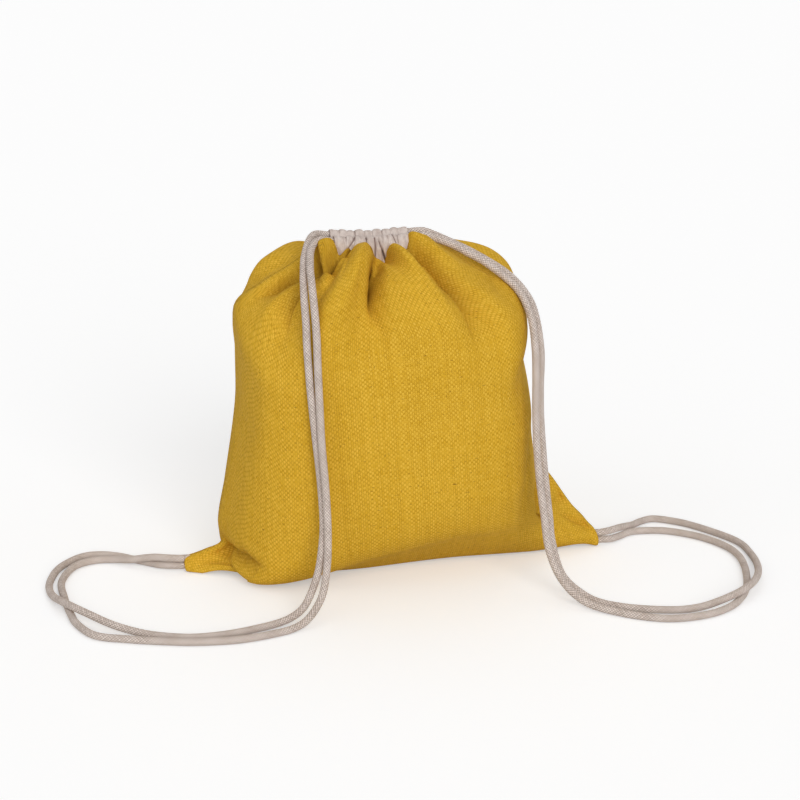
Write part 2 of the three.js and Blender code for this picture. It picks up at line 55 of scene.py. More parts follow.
# %% [markdown]
# Every shape here is a function of two parameters on a grid. The functions below are the bricks: soft
# steps, a curve through a table of rows, and a mesh from arrays of points and faces. Writing them once
# keeps the cells of the bag's pieces short.

# %% Soft steps and curves through tables
def smoothstep(t, low, high):
    """0 up to low, 1 from high on, and 3s^2 - 2s^3 between, where s is the share of the way."""
    s = np.clip((t - low) / (high - low), 0, 1)
    return s * s * (3 - 2 * s)


def window(t, low, full, fade, gone):
    """0 up to low, 1 between full and fade, and 0 again from gone on: a step up times a step down."""
    return smoothstep(t, low, full) * (1 - smoothstep(t, fade, gone))


def mix(start, end, share):
    """start at share 0 and end at share 1, in a straight line."""
    return start + (end - start) * share


def hump(t, middle, half):
    """(1 - x^2)^2 with x the distance from the middle in half widths, and 0 beyond 1."""
    return np.clip(1 - ((t - middle) / half) ** 2, 0, None) ** 2


def read_table(rows, t):
    """A cubic Hermite curve through rows of [place, value, ...]. Each slope is the one between the rows
    before and after, and the result has the values first."""
    rows = np.asarray(rows, float)
    t = np.asarray(t, float)
    k = np.clip(np.searchsorted(rows[1:, 0], t, side="left"), 0, len(rows) - 2)
    before, start = rows[np.maximum(k - 1, 0)], rows[k]
    end, after = rows[k + 1], rows[np.minimum(k + 2, len(rows) - 1)]
    span = (end - start)[..., :1]
    s = np.clip((t[..., None] - start[..., :1]) / span, 0, 1)
    slope_in = (end - before) / (end - before)[..., :1] * span
    slope_out = (after - start) / (after - start)[..., :1] * span
    s2, s3 = s * s, s * s * s
    values = start * (2 * s3 - 3 * s2 + 1) + slope_in * (s3 - 2 * s2 + s)
    values = values + end * (3 * s2 - 2 * s3) + slope_out * (s3 - s2)
    return np.moveaxis(values[..., 1:], -1, 0)


def unit(vectors):
    """Each vector over its own length."""
    return vectors / np.maximum(np.linalg.norm(vectors, axis=-1, keepdims=True), 1e-12)


# %% Meshes from arrays
def grid_corners(rows, columns):
    """The row and the column of each corner of each face between neighbours of a grid of points."""
    row, column = (index.reshape(-1, 1) for index in np.indices((rows - 1, columns - 1)))
    return row + [0, 0, 1, 1], column + [0, 1, 1, 0]


def grid_faces(rows, columns, around=False):
    """The faces, four point numbers each. around also joins the last column to the first."""
    corner_rows, corner_columns = grid_corners(rows, columns + around)
    return corner_rows * columns + corner_columns % columns


def make_piece(name, node, slot, points, face_sets, corner_uv=None, **attributes):
    """One object from an array of points and some arrays of faces. corner_uv holds two numbers for each
    corner of each face, and an attribute one number for each point."""
    mesh = bpy.data.meshes.new(name)
    mesh.vertices.add(len(points))
    mesh.vertices.foreach_set("co", np.asarray(points, np.float32).ravel())
    loops = np.concatenate([faces.ravel() for faces in face_sets])
    sizes = np.concatenate([np.full(len(faces), faces.shape[1]) for faces in face_sets])
    mesh.loops.add(len(loops))
    mesh.loops.foreach_set("vertex_index", loops.astype(np.int32))
    mesh.polygons.add(len(sizes))
    mesh.polygons.foreach_set("loop_start", (np.cumsum(sizes) - sizes).astype(np.int32))
    mesh.polygons.foreach_set("use_smooth", np.ones(len(sizes), bool))
    if corner_uv is not None:
        layer = mesh.uv_layers.new(name="cloth")
        layer.uv.foreach_set("vector", np.asarray(corner_uv, np.float32).ravel())
    for key, values in attributes.items():
        layer = mesh.attributes.new(key, "FLOAT", "POINT")
        layer.data.foreach_set("value", np.asarray(values, np.float32).ravel())
    mesh.update(calc_edges=True)
    mesh.validate()
    piece = bpy.data.objects.new(name, mesh)
    scene.collection.objects.link(piece)
    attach(piece, "root")
    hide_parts(node)
    return piece


def give_wall(piece, name, thickness):
    """The surface is the outside of the cloth, and its wall goes inwards from there."""
    wall = piece.modifiers.new(name, "SOLIDIFY")
    wall.thickness, wall.offset = thickness * MM, -1


# %% [markdown]
# The camera stands where the photographer stood: a little to the left of the bag's front and 17 degrees
# above it. It could be placed by eye, but the two bottom corners and the mouth are known in millimetres,
# so its angle, distance and lens were fitted to their places in the picture.

# %% The camera
azimuth, elevation = np.radians((-10.11, 17.0))
camera_distance = 2.0
camera_aim = np.array([0.0049, 0.0, 0.138])
level = np.cos(elevation)
away = np.array([np.sin(azimuth) * level, -np.cos(azimuth) * level, np.sin(elevation)])
camera_place = camera_aim + away * camera_distance
camera_data = bpy.data.cameras.new("camera")
camera_data.sensor_width = 36
camera_data.lens = 109.541
camera = bpy.data.objects.new("camera", camera_data)
scene.collection.objects.link(camera)
camera.location = camera_place
camera.rotation_euler = Vector(-away).to_track_quat("-Z", "Y").to_euler()
scene.camera = camera
print("The camera is at", np.round(camera_place, 3))

# %% [markdown]
# Each shoulder strap is two strands of one braided cord, 6 mm thick. A strand leaves the mouth, goes over
# the bag's shoulder, hangs in front of the bag, lies on the ground in one loose loop and goes into the
# bottom corner. It could be a curve object with a round bevel, but the braid shows as rice-like grains
# that catch the light, so each strand is a mesh tube with the braid in its surface.

# %% The strands' routes
on_ground = 3.2  # the height of a place that is written with two numbers
left_back_route = [
    (-57, 10.4, 277.6), (-63, 6.5, 278.8), (-68, 0, 277), (-75.5, -20.5, 268), (-79, -38.5, 259),
    (-81.5, -59, 243), (-82, -71.5, 226), (-82.5, -79.5, 208.5), (-82, -85, 189.5), (-81, -88.5, 170.5),
    (-78, -92, 135.5), (-75, -94.5, 101.5), (-74, -99, 68.5), (-76.5, -103.5, 47), (-80.5, -108.5, 31),
    (-92.5, -121, 11), (-102, -128, 6), (-113, -133.5, 3.8), (-133.5, -142), (-158.5, -149.5),
    (-186, -150.5), (-214, -140), (-229, -130.5, 4), (-243.5, -120, 6), (-265, -98, 9.9),
    (-273.5, -84.5, 9.8), (-280.5, -68, 7.8), (-285.5, -49.5, 5), (-287.5, -32, 3.5), (-286.5, -14.5),
    (-277, 17.5), (-257.5, 40), (-244, 42.5), (-229, 37), (-210, 21.5), (-194, 7.5, 3.9),
]
left_front_route = [
    (-62, -11.5, 278), (-67, -14, 276), (-70.5, -21, 272.5), (-74.5, -44, 262), (-75, -55.5, 253.5),
    (-75, -72.5, 231.5), (-75, -79.5, 218), (-75.5, -88.5, 191), (-75, -93.5, 161), (-74.5, -97, 137),
    (-72.5, -101, 104.5), (-71.5, -103.5, 81), (-71.5, -106.5, 58.5), (-73.5, -112.5, 37.5),
    (-79.5, -124, 18.5), (-93, -139, 6.5), (-104.5, -147, 3.5), (-123, -155), (-150, -161.5),
    (-180, -160.5), (-199, -156.5), (-233, -145.5), (-256.5, -134), (-269.5, -107.5), (-273, -88),
    (-276.5, -50), (-277, -15), (-265.5, 17.5), (-255.5, 26.5), (-243.5, 30), (-230.5, 26.5, 4),
    (-219, 19, 5.8), (-209, 13.5, 8.6), (-199, 8, 10.8), (-189, 2.7, 11.4),
]
right_back_route = [
    (26, 11, 277), (34, 11, 274), (47, 10, 268), (67, 2, 258.5), (92.5, -14, 243), (104, -27.5, 229.5),
    (108, -37.5, 218.5), (110, -54, 190), (108, -62.5, 161.5), (107.5, -67, 140), (108.5, -74.5, 108),
    (110, -79, 85), (112, -85.5, 58), (112.5, -92, 42), (118.5, -108, 17), (132.5, -126, 6),
    (142, -136, 3.6), (154, -145.5), (169, -153.5), (186, -159), (203, -161.5), (220, -161, 4.6),
    (247, -152.5, 9), (266.5, -135, 9.5), (277.5, -117.5, 8.5), (286, -96.5, 6.5), (292, -71.5, 4.5),
    (294.5, -48), (294, -28.5), (289, -12.5), (269, 20.5), (256.5, 35), (236.5, 47), (225, 42, 3.4),
    (214, 31, 4.6), (204, 20.5, 7.6), (195, 11, 10), (186, 3, 11.3),
]
right_front_route = [
    (24, -9, 277.8), (31, -6, 275), (46, -7, 269), (59, -13.5, 262.5), (72.5, -19, 255), (95, -31, 236),
    (103, -45, 217.5), (104, -60, 193), (103, -68, 173), (101.5, -76, 143), (102, -82.5, 109),
    (103.5, -86.5, 88), (105.5, -92.5, 66), (108, -104, 36.5), (115.5, -121, 17), (129.5, -140, 6),
    (153.5, -160), (169, -170.5), (186, -177.5), (204.5, -178), (225.5, -172.5), (243, -161),
    (256.5, -144.5), (267, -124.5), (275, -100), (280.5, -76.5), (283, -55.5), (281, -36.5), (274.5, -20),
    (264.5, -4.5), (250, 9), (235.5, 17), (210, 18.5), (198, 10.5), (187, 2.2, 4.2),
]
cord_radius = 3.0
cord_spacing = 6.6
casing_middle = 11.3  # of a casing, from the bag's middle plane
casing_height = 273.5  # of the middle of its two cords
upper_cord, lower_cord = casing_height + cord_spacing / 2, casing_height - cord_spacing / 2
touch_gap = 0.3
corner_reach, lean, neck_tall = 175.0, 19.5, 270.0
corner_low, corner_high = 5.1, 11.4  # heights of the two cords in the tip of a corner
left_end, right_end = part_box("front_channel")[0][0] / MM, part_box("front_channel")[1][0] / MM


def tip_at(side, height):
    """The tip of a corner, which leans with the bag: its reach less the lean's share of the height."""
    return side * corner_reach - lean * height / neck_tall


def strand_route(face, side, route, corner_height):
    """The start at the casing's end, a lead one cord radius long, the route's points, a lead and the end
    at the corner's tip."""
    start_x = (left_end if side < 0 else right_end) + side * touch_gap
    end_x = tip_at(side, corner_height) + side * touch_gap
    lead = side * cord_radius
    start = [(x, face * casing_middle, upper_cord) for x in (start_x, start_x + lead)]
    end = [(x, 0, corner_height) for x in (end_x + lead, end_x)]
    places = [(*place, on_ground)[:3] for place in route]
    return np.array(start + places + end) * MM


strand_routes = {
    "left_front": strand_route(-1, -1, left_front_route, corner_high),
    "left_back": strand_route(1, -1, left_back_route, corner_low),
    "right_front": strand_route(-1, 1, right_front_route, corner_low),
    "right_back": strand_route(1, 1, right_back_route, corner_high),
}


# %% A smooth path through a route
def smooth_path(route, step):
    """A centripetal Catmull-Rom curve through the route's points. Each span is a cubic whose end slopes
    weigh the neighbouring chords by the square roots of their lengths. The result has even steps."""
    ends = np.vstack([2 * route[0] - route[1], route, 2 * route[-1] - route[-2]])
    p0, p1, p2, p3 = ends[:-3], ends[1:-2], ends[2:-1], ends[3:]
    chords = (np.diff(ends, axis=0)[k:k + len(p0)] for k in range(3))
    d0, d1, d2 = (np.linalg.norm(chord, axis=1)[:, None] ** 0.5 for chord in chords)
    t1 = ((p1 - p0) / d0 - (p2 - p0) / (d0 + d1) + (p2 - p1) / d1) * d1
    t2 = ((p2 - p1) / d1 - (p3 - p1) / (d1 + d2) + (p3 - p2) / d2) * d1
    s = np.linspace(0, 1, 24, endpoint=False)[:, None, None]
    spans = p1 + t1 * s + (3 * p2 - 3 * p1 - 2 * t1 - t2) * s**2 + (2 * p1 - 2 * p2 + t1 + t2) * s**3
    path = np.vstack([spans.transpose(1, 0, 2).reshape(-1, 3), route[-1:]])
    reach = np.concatenate([[0], np.cumsum(np.linalg.norm(np.diff(path, axis=0), axis=1))])
    even = np.linspace(0, reach[-1], int(reach[-1] / step) + 1)
    return np.stack([np.interp(even, reach, path[:, axis]) for axis in range(3)], -1), reach[-1]


# %% The braid
carriers = 8  # yarns that wind each way
cell_long = 2.5  # along the cord, of one crossing
braid_proud, braid_deep = 0.1, 0.34  # over the cord's radius, and from there down to the grooves
coarse = {"sides": 24, "step": 0.9 * MM}  # for the cords that hardly show


def braid(around, along):
    """How far the braid stands out, from 0 to 1. Lines of equal a and of equal b wind opposite ways. In
    every second cell of their lattice the a yarn is on top, and elsewhere the b yarn. A yarn is round
    across and arches where it passes over."""
    a = carriers * around + along / cell_long
    b = carriers * around - along / cell_long
    a_on_top = (np.floor(a) + np.floor(b)) % 2 == 0
    across = np.where(a_on_top, a, b) % 1
    onward = np.where(a_on_top, b, a) % 1
    return np.sqrt(1 - (2 * across - 1) ** 2) * (0.3 + 0.7 * np.sin(np.pi * onward))


def braided_cord(name, node, route, sides=44, step=0.45 * MM):
    """A tube round a smooth path. Its rings stand square to the path and are turned alike, by one fixed
    direction less its part along the path. Its radius is the cord's, less the braid's grooves."""
    path, length = smooth_path(route, step)
    onward = unit(np.gradient(path, axis=0))
    upright = np.array([0.6, 0.5, 0.6])
    first = unit(upright - (onward @ upright)[:, None] * onward)[:, None]
    second = np.cross(onward[:, None], first)
    rings, turn = len(path), np.arange(sides)
    along = np.linspace(0, length / MM, rings)
    relief = braid(turn / sides, along[:, None])
    radius = (cord_radius + braid_proud - braid_deep * (1 - relief)) * MM
    angle = (2 * np.pi * turn / sides)[:, None]
    tube = path[:, None] + (first * np.cos(angle) + second * np.sin(angle)) * radius[..., None]
    points = np.vstack([tube.reshape(-1, 3), path[:1], path[-1:]])

    def cap(ring_start, centre, order):
        corners = [np.full(sides, centre), ring_start + turn, ring_start + (turn + 1) % sides]
        return np.stack(corners, -1)[:, order]

    count = rings * sides
    caps = [cap(0, count, [0, 1, 2]), cap(count - sides, count + 1, [0, 2, 1])]
    corner_rows, corner_columns = grid_corners(rows=rings, columns=sides + 1)
    uv = np.stack([corner_columns / sides, along[corner_rows] / cell_long], -1)[:, ::-1]
    uv = np.vstack([uv.reshape(-1, 2), np.zeros((2 * sides * 3, 2))])
    faces = grid_faces(rings, sides, around=True)[:, ::-1]
    piece = make_piece(name, node, "cord", points, [faces, *caps], uv,
                       relief=np.append(relief.ravel(), [0.5, 0.5]))
    print(name, "is", round(length * 100, 1), "cm long, with", 2 * count, "triangles")
    return piece, path, length


# %% The four strands
strand_paths = {}
cord_pieces = []
for key, route in strand_routes.items():
    side, which = key.split("_")
    strand, path, length = braided_cord(key + "_strand_braid", f"{side}_strap_{which}_strand", route)
    strand_paths[key] = path
    cord_pieces.append(strand)

# %% [markdown]
# Inside the casings each cord is the upper one where its strands leave. It winds half a turn round the
# other on its way through, turns back round the far end of the mouth as the lower one and comes back
# through the other casing. Only the two bights and the ends can be seen, so these tubes are coarser.

# %% The cords inside the casings and the corners
bight_reach = 8.0
sag_deep = 2.6
tail_long = 26.0


def sag(x):
    """The cinched mouth hangs a little between its ends, as a parabola."""
    middle, half = (left_end + right_end) / 2, (right_end - left_end) / 2
    return sag_deep * np.clip(1 - ((x - middle) / half) ** 2, 0, None)


def run_route(side):
    """Through the front casing, round the far end of the mouth and back through the back casing. In a
    casing the cord's angle round the middle of the pair goes from a quarter turn up to a quarter down."""
    share = np.linspace(0, 1, 9)

    def through(face, start, end, turn_start):
        turn = turn_start * mix(1, -1, smoothstep(share, 0.13, 0.87)) * np.pi / 2
        x = mix(start, end, share)
        y = face * casing_middle + face * side * cord_spacing * np.cos(turn) / 2
        return np.stack([x, y, casing_height - sag(x) + cord_spacing / 2 * np.sin(turn)], -1)

    near, far = (left_end, right_end) if side < 0 else (right_end, left_end)
    turn = np.pi * np.arange(1, 6) / 6
    bight_x, bight_y = far - side * bight_reach * np.sin(turn), -casing_middle * np.cos(turn)
    bight = np.stack([bight_x, bight_y, np.full(5, lower_cord)], -1)
    return np.vstack([through(-1, near, far, 1), bight, through(1, far, near, -1)]) * MM


for side, word in ((-1, "left"), (1, "right")):
    run = braided_cord(word + "_casing_cord_braid", word + "_cord_channel_run", run_route(side), **coarse)
    cord_pieces.append(run[0])
    heights = (corner_high, corner_low) if side < 0 else (corner_low, corner_high)
    for which, height in zip(("front", "back"), heights):
        tip = tip_at(side, height)
        tail_route = np.array([(x, 0, height) for x in np.linspace(tip, tip - side * tail_long, 4)]) * MM
        tail = braided_cord(f"{word}_{which}_tail_braid", f"{word}_{which}_cord_tail", tail_route, **coarse)
        cord_pieces.append(tail[0])

# %% [markdown]
# The bag's body is two panels of jute. A panel is a flat square of cloth in real life, so the natural
# parameters are the cloth's own: u from -1 at the left side seam to 1 at the right one, and v from 0 at
# the bottom seam to 1 at the mouth. Cloth simulation could fill and cinch it, but the folds have to be
# the ones in the picture, so the filled shape is a formula and each fold is a line drawn on the cloth.

# %% The filled shape of a panel
body_wide, body_deep, base_lift, left_foot = 124.0, 84.0, 31.0, 6.0
shoulder_tall, mouth_wide, mouth_deep = 226.0, 44.0, 23.5
panel_tall, seam_gap, corner_thick, seam_round = 370.0, 0.15, 5.2, 7.0


def side_seam(corner, body, shoulder):
    """Rows of the place up the cloth, the half width and the height. In the corner the width goes from
    the body's to the corner's reach. On the body both are shares. On the shoulder they go from the
    body's width and the shoulder's height to the mouth's and the neck's."""
    rows = [(v, mix(body_wide, corner_reach, out), tall) for v, out, tall in corner]
    rows += [(v, wide * body_wide, tall * shoulder_tall) for v, wide, tall in body]
    return rows + [(v, mix(body_wide, mouth_wide, inward), mix(shoulder_tall, neck_tall, up))
                   for v, inward, up in shoulder]


left_seam = side_seam(
    corner=[(0, 0.985, 0), (0.012, 1.005, 4), (0.028, 1.005, 10), (0.042, 0.97, 13.5), (0.056, 0.86, 15),
            (0.078, 0.66, 18.5), (0.115, 0.38, 25)],
    body=[(0.165, 1.16, 0.2), (0.28, 1.08, 0.37), (0.46, 0.965, 0.66), (0.6, 0.93, 0.86)],
    shoulder=[(0.67, 0.13, 0), (0.75, 0.4, 0.38), (0.84, 0.71, 0.7), (0.93, 0.92, 0.94), (1, 1, 1)],
)
right_seam = side_seam(
    corner=[(0, 0.99, 0), (0.012, 1.005, 4), (0.028, 1.005, 10), (0.044, 0.965, 15.5), (0.064, 0.86, 22),
            (0.09, 0.76, 29), (0.12, 0.6, 38.64), (0.21, 0.31, 63), (0.29, 0.04, 84)],
    body=[(0.39, 0.97, 0.53), (0.5, 0.97, 0.72), (0.6, 0.925, 0.88)],
    shoulder=[(0.68, 0.045, 0), (0.76, 0.17, 0.4), (0.85, 0.6, 0.75), (0.93, 0.87, 0.94), (1, 1, 1)],
)
middle_line = [
    [0, 0, 0], [0.07, 0.3, 0], [0.137, 0.58, 0.006], [0.187, 0.76, 0.036], [0.241, 0.885, 0.098],
    [0.338, 0.97, 0.224], [0.476, 1, 0.41], [0.6, 0.994, 0.578], [0.709, 0.96, 0.728],
    [0.785, 0.895, 0.828], [0.851, 0.79, 0.914], [0.912, 0.62, 0.978], [0.957, 0.45, 1.005],
    [1, mouth_deep / body_deep, 1],
]
boxiness = 0.26
gather_share, gather_end = 0.46, 0.88  # how far the cord draws the mouth together, and how far out
left_pinch, right_pinch = 2.0, 2.3  # how fast the panels close on each other towards a corner
base_power, body_power = 7.0, 3.4  # how late the cloth rises to its side seam
base_rises = [  # by how much, the middle and half width across, and the window up the cloth
    (8, -0.51, 0.17, (-1, 0, 0.02, 0.08)), (8.5, -0.68, 0.3, (0.03, 0.09, 0.1, 0.2)),
    (3, 0.62, 0.26, (-1, 0, 0.09, 0.2)),
]


def filled_panel(face, u, v):
    """The panel before its folds, in millimetres. Across, it is an ellipse made squarer: the sine of the
    turn times (1 + b cos^2), and the depth the cosine times (1 + b sin^2). Its half width and height
    along the side seams come from two tables, its depth and height along the middle from a third, and
    a high power of u mixes the heights. The front's base is lifted clear of the ground but for its
    left end, and near the corners the cloth under the bag rises a little."""
    seam_x, seam_z = np.where(u < 0, read_table(left_seam, v), read_table(right_seam, v))
    depth_share, height_share = read_table(middle_line, v)
    out = np.abs(u)
    gathered = u * mix(gather_share, 1, smoothstep(out, gather_end, 1))
    turn = mix(u, gathered, smoothstep(v, 0.8, 1)) * np.pi / 2
    across = np.sin(turn) * (1 + boxiness * np.cos(turn) ** 2)
    closing = np.maximum(np.cos(turn), 0) * (1 + boxiness * np.sin(turn) ** 2)
    pinch_left = mix(left_pinch, 1, smoothstep(v, 0.06, 0.2))
    pinch_right = mix(right_pinch, 1, smoothstep(v, 0.14, 0.36))
    pinched = closing ** np.where(u < 0, pinch_left, pinch_right)
    beside = out ** mix(base_power, body_power, smoothstep(v, 0.1, 0.4))
    height = mix(height_share * neck_tall, seam_z, beside)
    foot = 0
    if face < 0:
        early = smoothstep(u, -0.15, 0.18)
        lift = window(v, mix(0.03, -0.01, early), mix(0.15, 0.17, early), 0.16, 0.5)
        height = height + base_lift * lift * smoothstep(u, -0.5, 0.22) * (1 - beside)
        foot = left_foot * hump(u, -0.5, 0.42) * hump(v, 0.16, 0.14)
    under = sum(rise * hump(u, middle, half) * window(v, *rows) for rise, middle, half, rows in base_rises)
    height = np.maximum(height, 0) + under
    from_seam = np.minimum((1 - out) * corner_reach, v * panel_tall) / seam_round
    rounding = np.sqrt(1 - (1 - np.minimum(from_seam, 1)) ** 2)
    depth = mix(seam_gap, corner_thick, rounding) + depth_share * body_deep * pinched
    return np.stack([seam_x * across - lean * height / neck_tall, face * (depth + foot), height], -1)


def normals(points, face):
    """Outward directions on a grid: the slope across times the slope up, turned outwards."""
    return unit(np.cross(np.gradient(points, axis=1), np.gradient(points, axis=0))) * -face


# %% [markdown]
# The cinched mouth gathers the cloth into broad troughs, deepest at the mouth, that run out on the body.
# Between them it puffs up a little. A drawn cord does that in real life: the cloth has nowhere else to go.

# %% The broad gathers
pleat_deep = 16.0
puffs = {-1: 4.0, 1: 16.0}
front_pleats = [  # places at the mouth and on the body, the bow, the depth's share, half width and end
    (-0.93, -0.55, 0.02, 0.5, 0.2, 0.62), (-0.62, -0.5, -0.02, 0.8, 0.2, 0.64),
    (-0.03, -0.03, -0.12, 0.95, 0.16, 0.66), (0.55, 0.36, 0, 0.8, 0.18, 0.66),
    (-0.28, -0.25, 0, -0.31, 0.2, 0.58), (0.26, 0.14, 0, -0.37, 0.26, 0.58),
]
back_pleats = [
    (-0.78, -0.52, 0.02, 0.56, 0.18, 0.66), (-0.34, -0.24, 0, 0.88, 0.2, 0.6),
    (0.12, 0.12, 0.04, 0.81, 0.2, 0.68), (0.52, 0.44, -0.03, 0.88, 0.19, 0.62),
    (0.88, 0.7, 0, 0.56, 0.15, 0.7),
]


def pleat_depth(face, u, v):
    """Each trough's middle goes from its place on the body to the one at the mouth, with a bow between.
    Across it is hump-shaped, and its depth grows with a root of the way along."""
    depth = -puffs[face] * window(np.abs(u), 0.3, 0.72, 0.88, 1) * window(v, 0.66, 0.8, 0.8, 0.97)
    for mouth, body, bow, deep, half, end in front_pleats if face < 0 else back_pleats:
        along = smoothstep(v, end, 1)
        middle = mix(body, mouth, along) + bow * np.sin(np.pi * along)
        depth = depth + pleat_deep * deep * along**0.55 * hump(u, middle, half)
    return depth


# %% [markdown]
# Within a trough the cloth folds over itself in one sharp crease: one side drops steeply under the lobe
# beside it, and the other side comes up slowly. Each crease is a line of a few places (u, v) on the cloth.

# %% Creases along lines on the cloth
cloth_half_wide = 130.0  # of the gathered cloth, for distances across


def along_line(u, v, line):
    """The distance from a line of places in millimetres of cloth, less than 0 on its left, and the share
    of the way along it. It is the least of the distances from the line's straight parts."""
    scale = np.array([cloth_half_wide, panel_tall])
    spots = np.stack([u, v], -1) * scale
    line = np.asarray(line, float) * scale
    lengths = np.linalg.norm(np.diff(line, axis=0), axis=1)
    starts = np.concatenate([[0], np.cumsum(lengths)])
    nearest = np.full(u.shape, np.inf)
    share = np.zeros(u.shape)
    side = np.ones(u.shape)
    for start, end, reach, length in zip(line[:-1], line[1:], starts, lengths):
        step = end - start
        offset = spots - start
        t = np.clip((offset @ step) / (step @ step), 0, 1)
        gap = np.linalg.norm(offset - t[..., None] * step, axis=-1)
        closer = gap < nearest
        nearest = np.where(closer, gap, nearest)
        share = np.where(closer, (reach + t * length) / starts[-1], share)
        side = np.where(closer, np.sign(step[0] * offset[..., 1] - step[1] * offset[..., 0]), side)
    return nearest * side, share


def creases_depth(u, v, creases):
    """The creases' depths, and how far the cloth beside them slides over them, in millimetres to the
    right. A crease is its line, its depth, its width on the left and on the right, the share of the line
    from which it fades and the slide: from the left where it is more than 0, else from the right. Across,
    the depth falls off exponentially, and the slide is a hump beside the line."""
    slide_off, slide_half, blunt = 4.0, 5.5, 0.6
    total, slide = np.zeros(u.shape), np.zeros(u.shape)
    for line, deep, left, right, fade, lap in creases:
        gap, share = along_line(u, v, line)
        width = np.where(gap < 0, left, right)
        here = 1 - smoothstep(share, fade, 1)
        total += deep * here * np.exp(-np.sqrt(gap**2 + blunt) / width)
        slide += lap * here * hump(gap, -slide_off * np.sign(lap), slide_half)
    return total, slide


left_fold = [
    (-0.42, 1), (-0.42, 0.968), (-0.53, 0.956), (-0.64, 0.945), (-0.735, 0.918), (-0.785, 0.888),
    (-0.785, 0.86), (-0.775, 0.83), (-0.75, 0.81), (-0.725, 0.79), (-0.695, 0.774), (-0.63, 0.745),
    (-0.57, 0.7),
]
middle_fold = [
    (-0.03, 1), (-0.09, 0.968), (-0.13, 0.94), (-0.158, 0.92), (-0.162, 0.905), (-0.155, 0.89),
    (-0.148, 0.865), (-0.125, 0.835), (-0.085, 0.8), (-0.04, 0.75),
]
front_creases = [
    (left_fold, 14, 10, 4.5, 0.6, -5),
    (left_fold[1:7] + [(-0.77, 0.83), (-0.74, 0.8)], 13, 3, 2, 0.6, 0),
    ([(-0.66, 0.975), (-0.73, 0.957), (-0.79, 0.935), (-0.86, 0.9)], 5, 3, 4, 0.6, 0),
    (middle_fold, 13, 4, 12, 0.55, 4),
    (middle_fold[1:8], 16, 1.8, 3.2, 0.6, 0),
    ([(0.62, 1), (0.65, 0.95), (0.66, 0.927), (0.63, 0.908), (0.585, 0.888), (0.53, 0.868), (0.44, 0.84),
      (0.37, 0.8), (0.33, 0.76), (0.31, 0.71)], 17, 4.5, 11, 0.5, 4.5),
    ([(0.93, 0.83), (0.9, 0.807), (0.767, 0.8), (0.633, 0.78)], 4, 8, 8, 0.4, 0),
    ([(-0.97, 0.93), (-0.965, 0.88), (-0.955, 0.83), (-0.95, 0.79), (-0.95, 0.75), (-0.94, 0.71)],
     17, 7, 13, 0.6, 0),
    ([(-0.86, 0.84), (-0.84, 0.79), (-0.81, 0.75), (-0.75, 0.7)], -5, 12, 12, 0.5, 0),
    ([(-0.99, 0.12), (-0.93, 0.14), (-0.84, 0.19), (-0.72, 0.22), (-0.58, 0.225), (-0.48, 0.212)],
     13, 13, 4, 0.6, 0),
    ([(-0.95, 0.09), (-0.85, 0.12), (-0.72, 0.15), (-0.55, 0.16), (-0.42, 0.15)], -4, 8, 8, 0.6, 0),
    ([(0.98, 0.285), (0.88, 0.262), (0.725, 0.245), (0.615, 0.193), (0.538, 0.106), (0.5, 0.05)],
     14, 10, 9, 0.6, 0),
    ([(0.7, 0.45), (0.607, 0.361), (0.52, 0.29), (0.43, 0.2), (0.36, 0.1)], 4, 14, 14, 0.6, 0),
    ([(0.97, 0.06), (0.86, 0.1), (0.76, 0.15), (0.68, 0.17)], 4.5, 4, 5, 0.5, 0),
    ([(0.95, 0.17), (0.87, 0.19), (0.79, 0.2), (0.72, 0.19)], 4, 4, 5, 0.5, 0),
]
back_creases = [
    ([(-0.34, 1), (-0.3, 0.82), (-0.24, 0.62)], 4, 4, 12, 0.4, 3),
    ([(0.12, 1), (0.15, 0.86), (0.12, 0.7)], 4, 12, 4, 0.4, -3),
    ([(0.52, 1), (0.47, 0.82), (0.44, 0.65)], 4, 4, 12, 0.4, 3),
]

# %% [markdown]
# At the mouth the seam between jute and cotton is hidden: the lobes of jute puff up in front of the
# casing and tuck in behind themselves, and only in the notch between two lobes does the casing show down
# to its seam. The crest's line is written as a table across the panel.

# %% The crest of the jute round the mouth
front_crest = [
    [-1, -63.5, -0.3, 270], [-0.97, -64.2, -7, 274], [-0.94, -64.2, -13, 277.5], [-0.9, -63.2, -16, 280.3],
    [-0.86, -61, -17, 281.8], [-0.8, -57.4, -17.5, 282.3], [-0.745, -53.4, -18.8, 280.8],
    [-0.69, -50.8, -20.8, 276], [-0.61, -48.6, -23.5, 269.5],
    [-0.55, -46, -26, 271.8], [-0.5, -43.2, -26.5, 274.3], [-0.455, -40.6, -25, 273.9],
    [-0.42, -38.1, -22.5, 271], [-0.385, -36.8, -26, 274.8], [-0.33, -34, -29, 277.8],
    [-0.235, -30.2, -30, 278.7], [-0.145, -26, -29, 277.5], [-0.065, -22.5, -27, 274.5],
    [-0.005, -19.8, -23, 267.7], [0.08, -15.9, -21.5, 263.1], [0.19, -11, -21, 259.2],
    [0.225, -9.6, -22.5, 264.5], [0.25, -8.9, -26, 271.5], [0.28, -7.5, -29, 275.9],
    [0.34, -4.5, -30, 276.9], [0.425, -0.8, -29, 274.3], [0.51, 2.5, -27, 271.8], [0.59, 5.3, -24.5, 270.2],
    [0.665, 8, -21, 272.6], [0.71, 9.4, -17.5, 279], [0.75, 11, -16.5, 283], [0.8, 14, -16.5, 283.2],
    [0.88, 19.5, -16, 281], [0.94, 24.5, -13, 278], [1, 26, -0.3, 272],
]
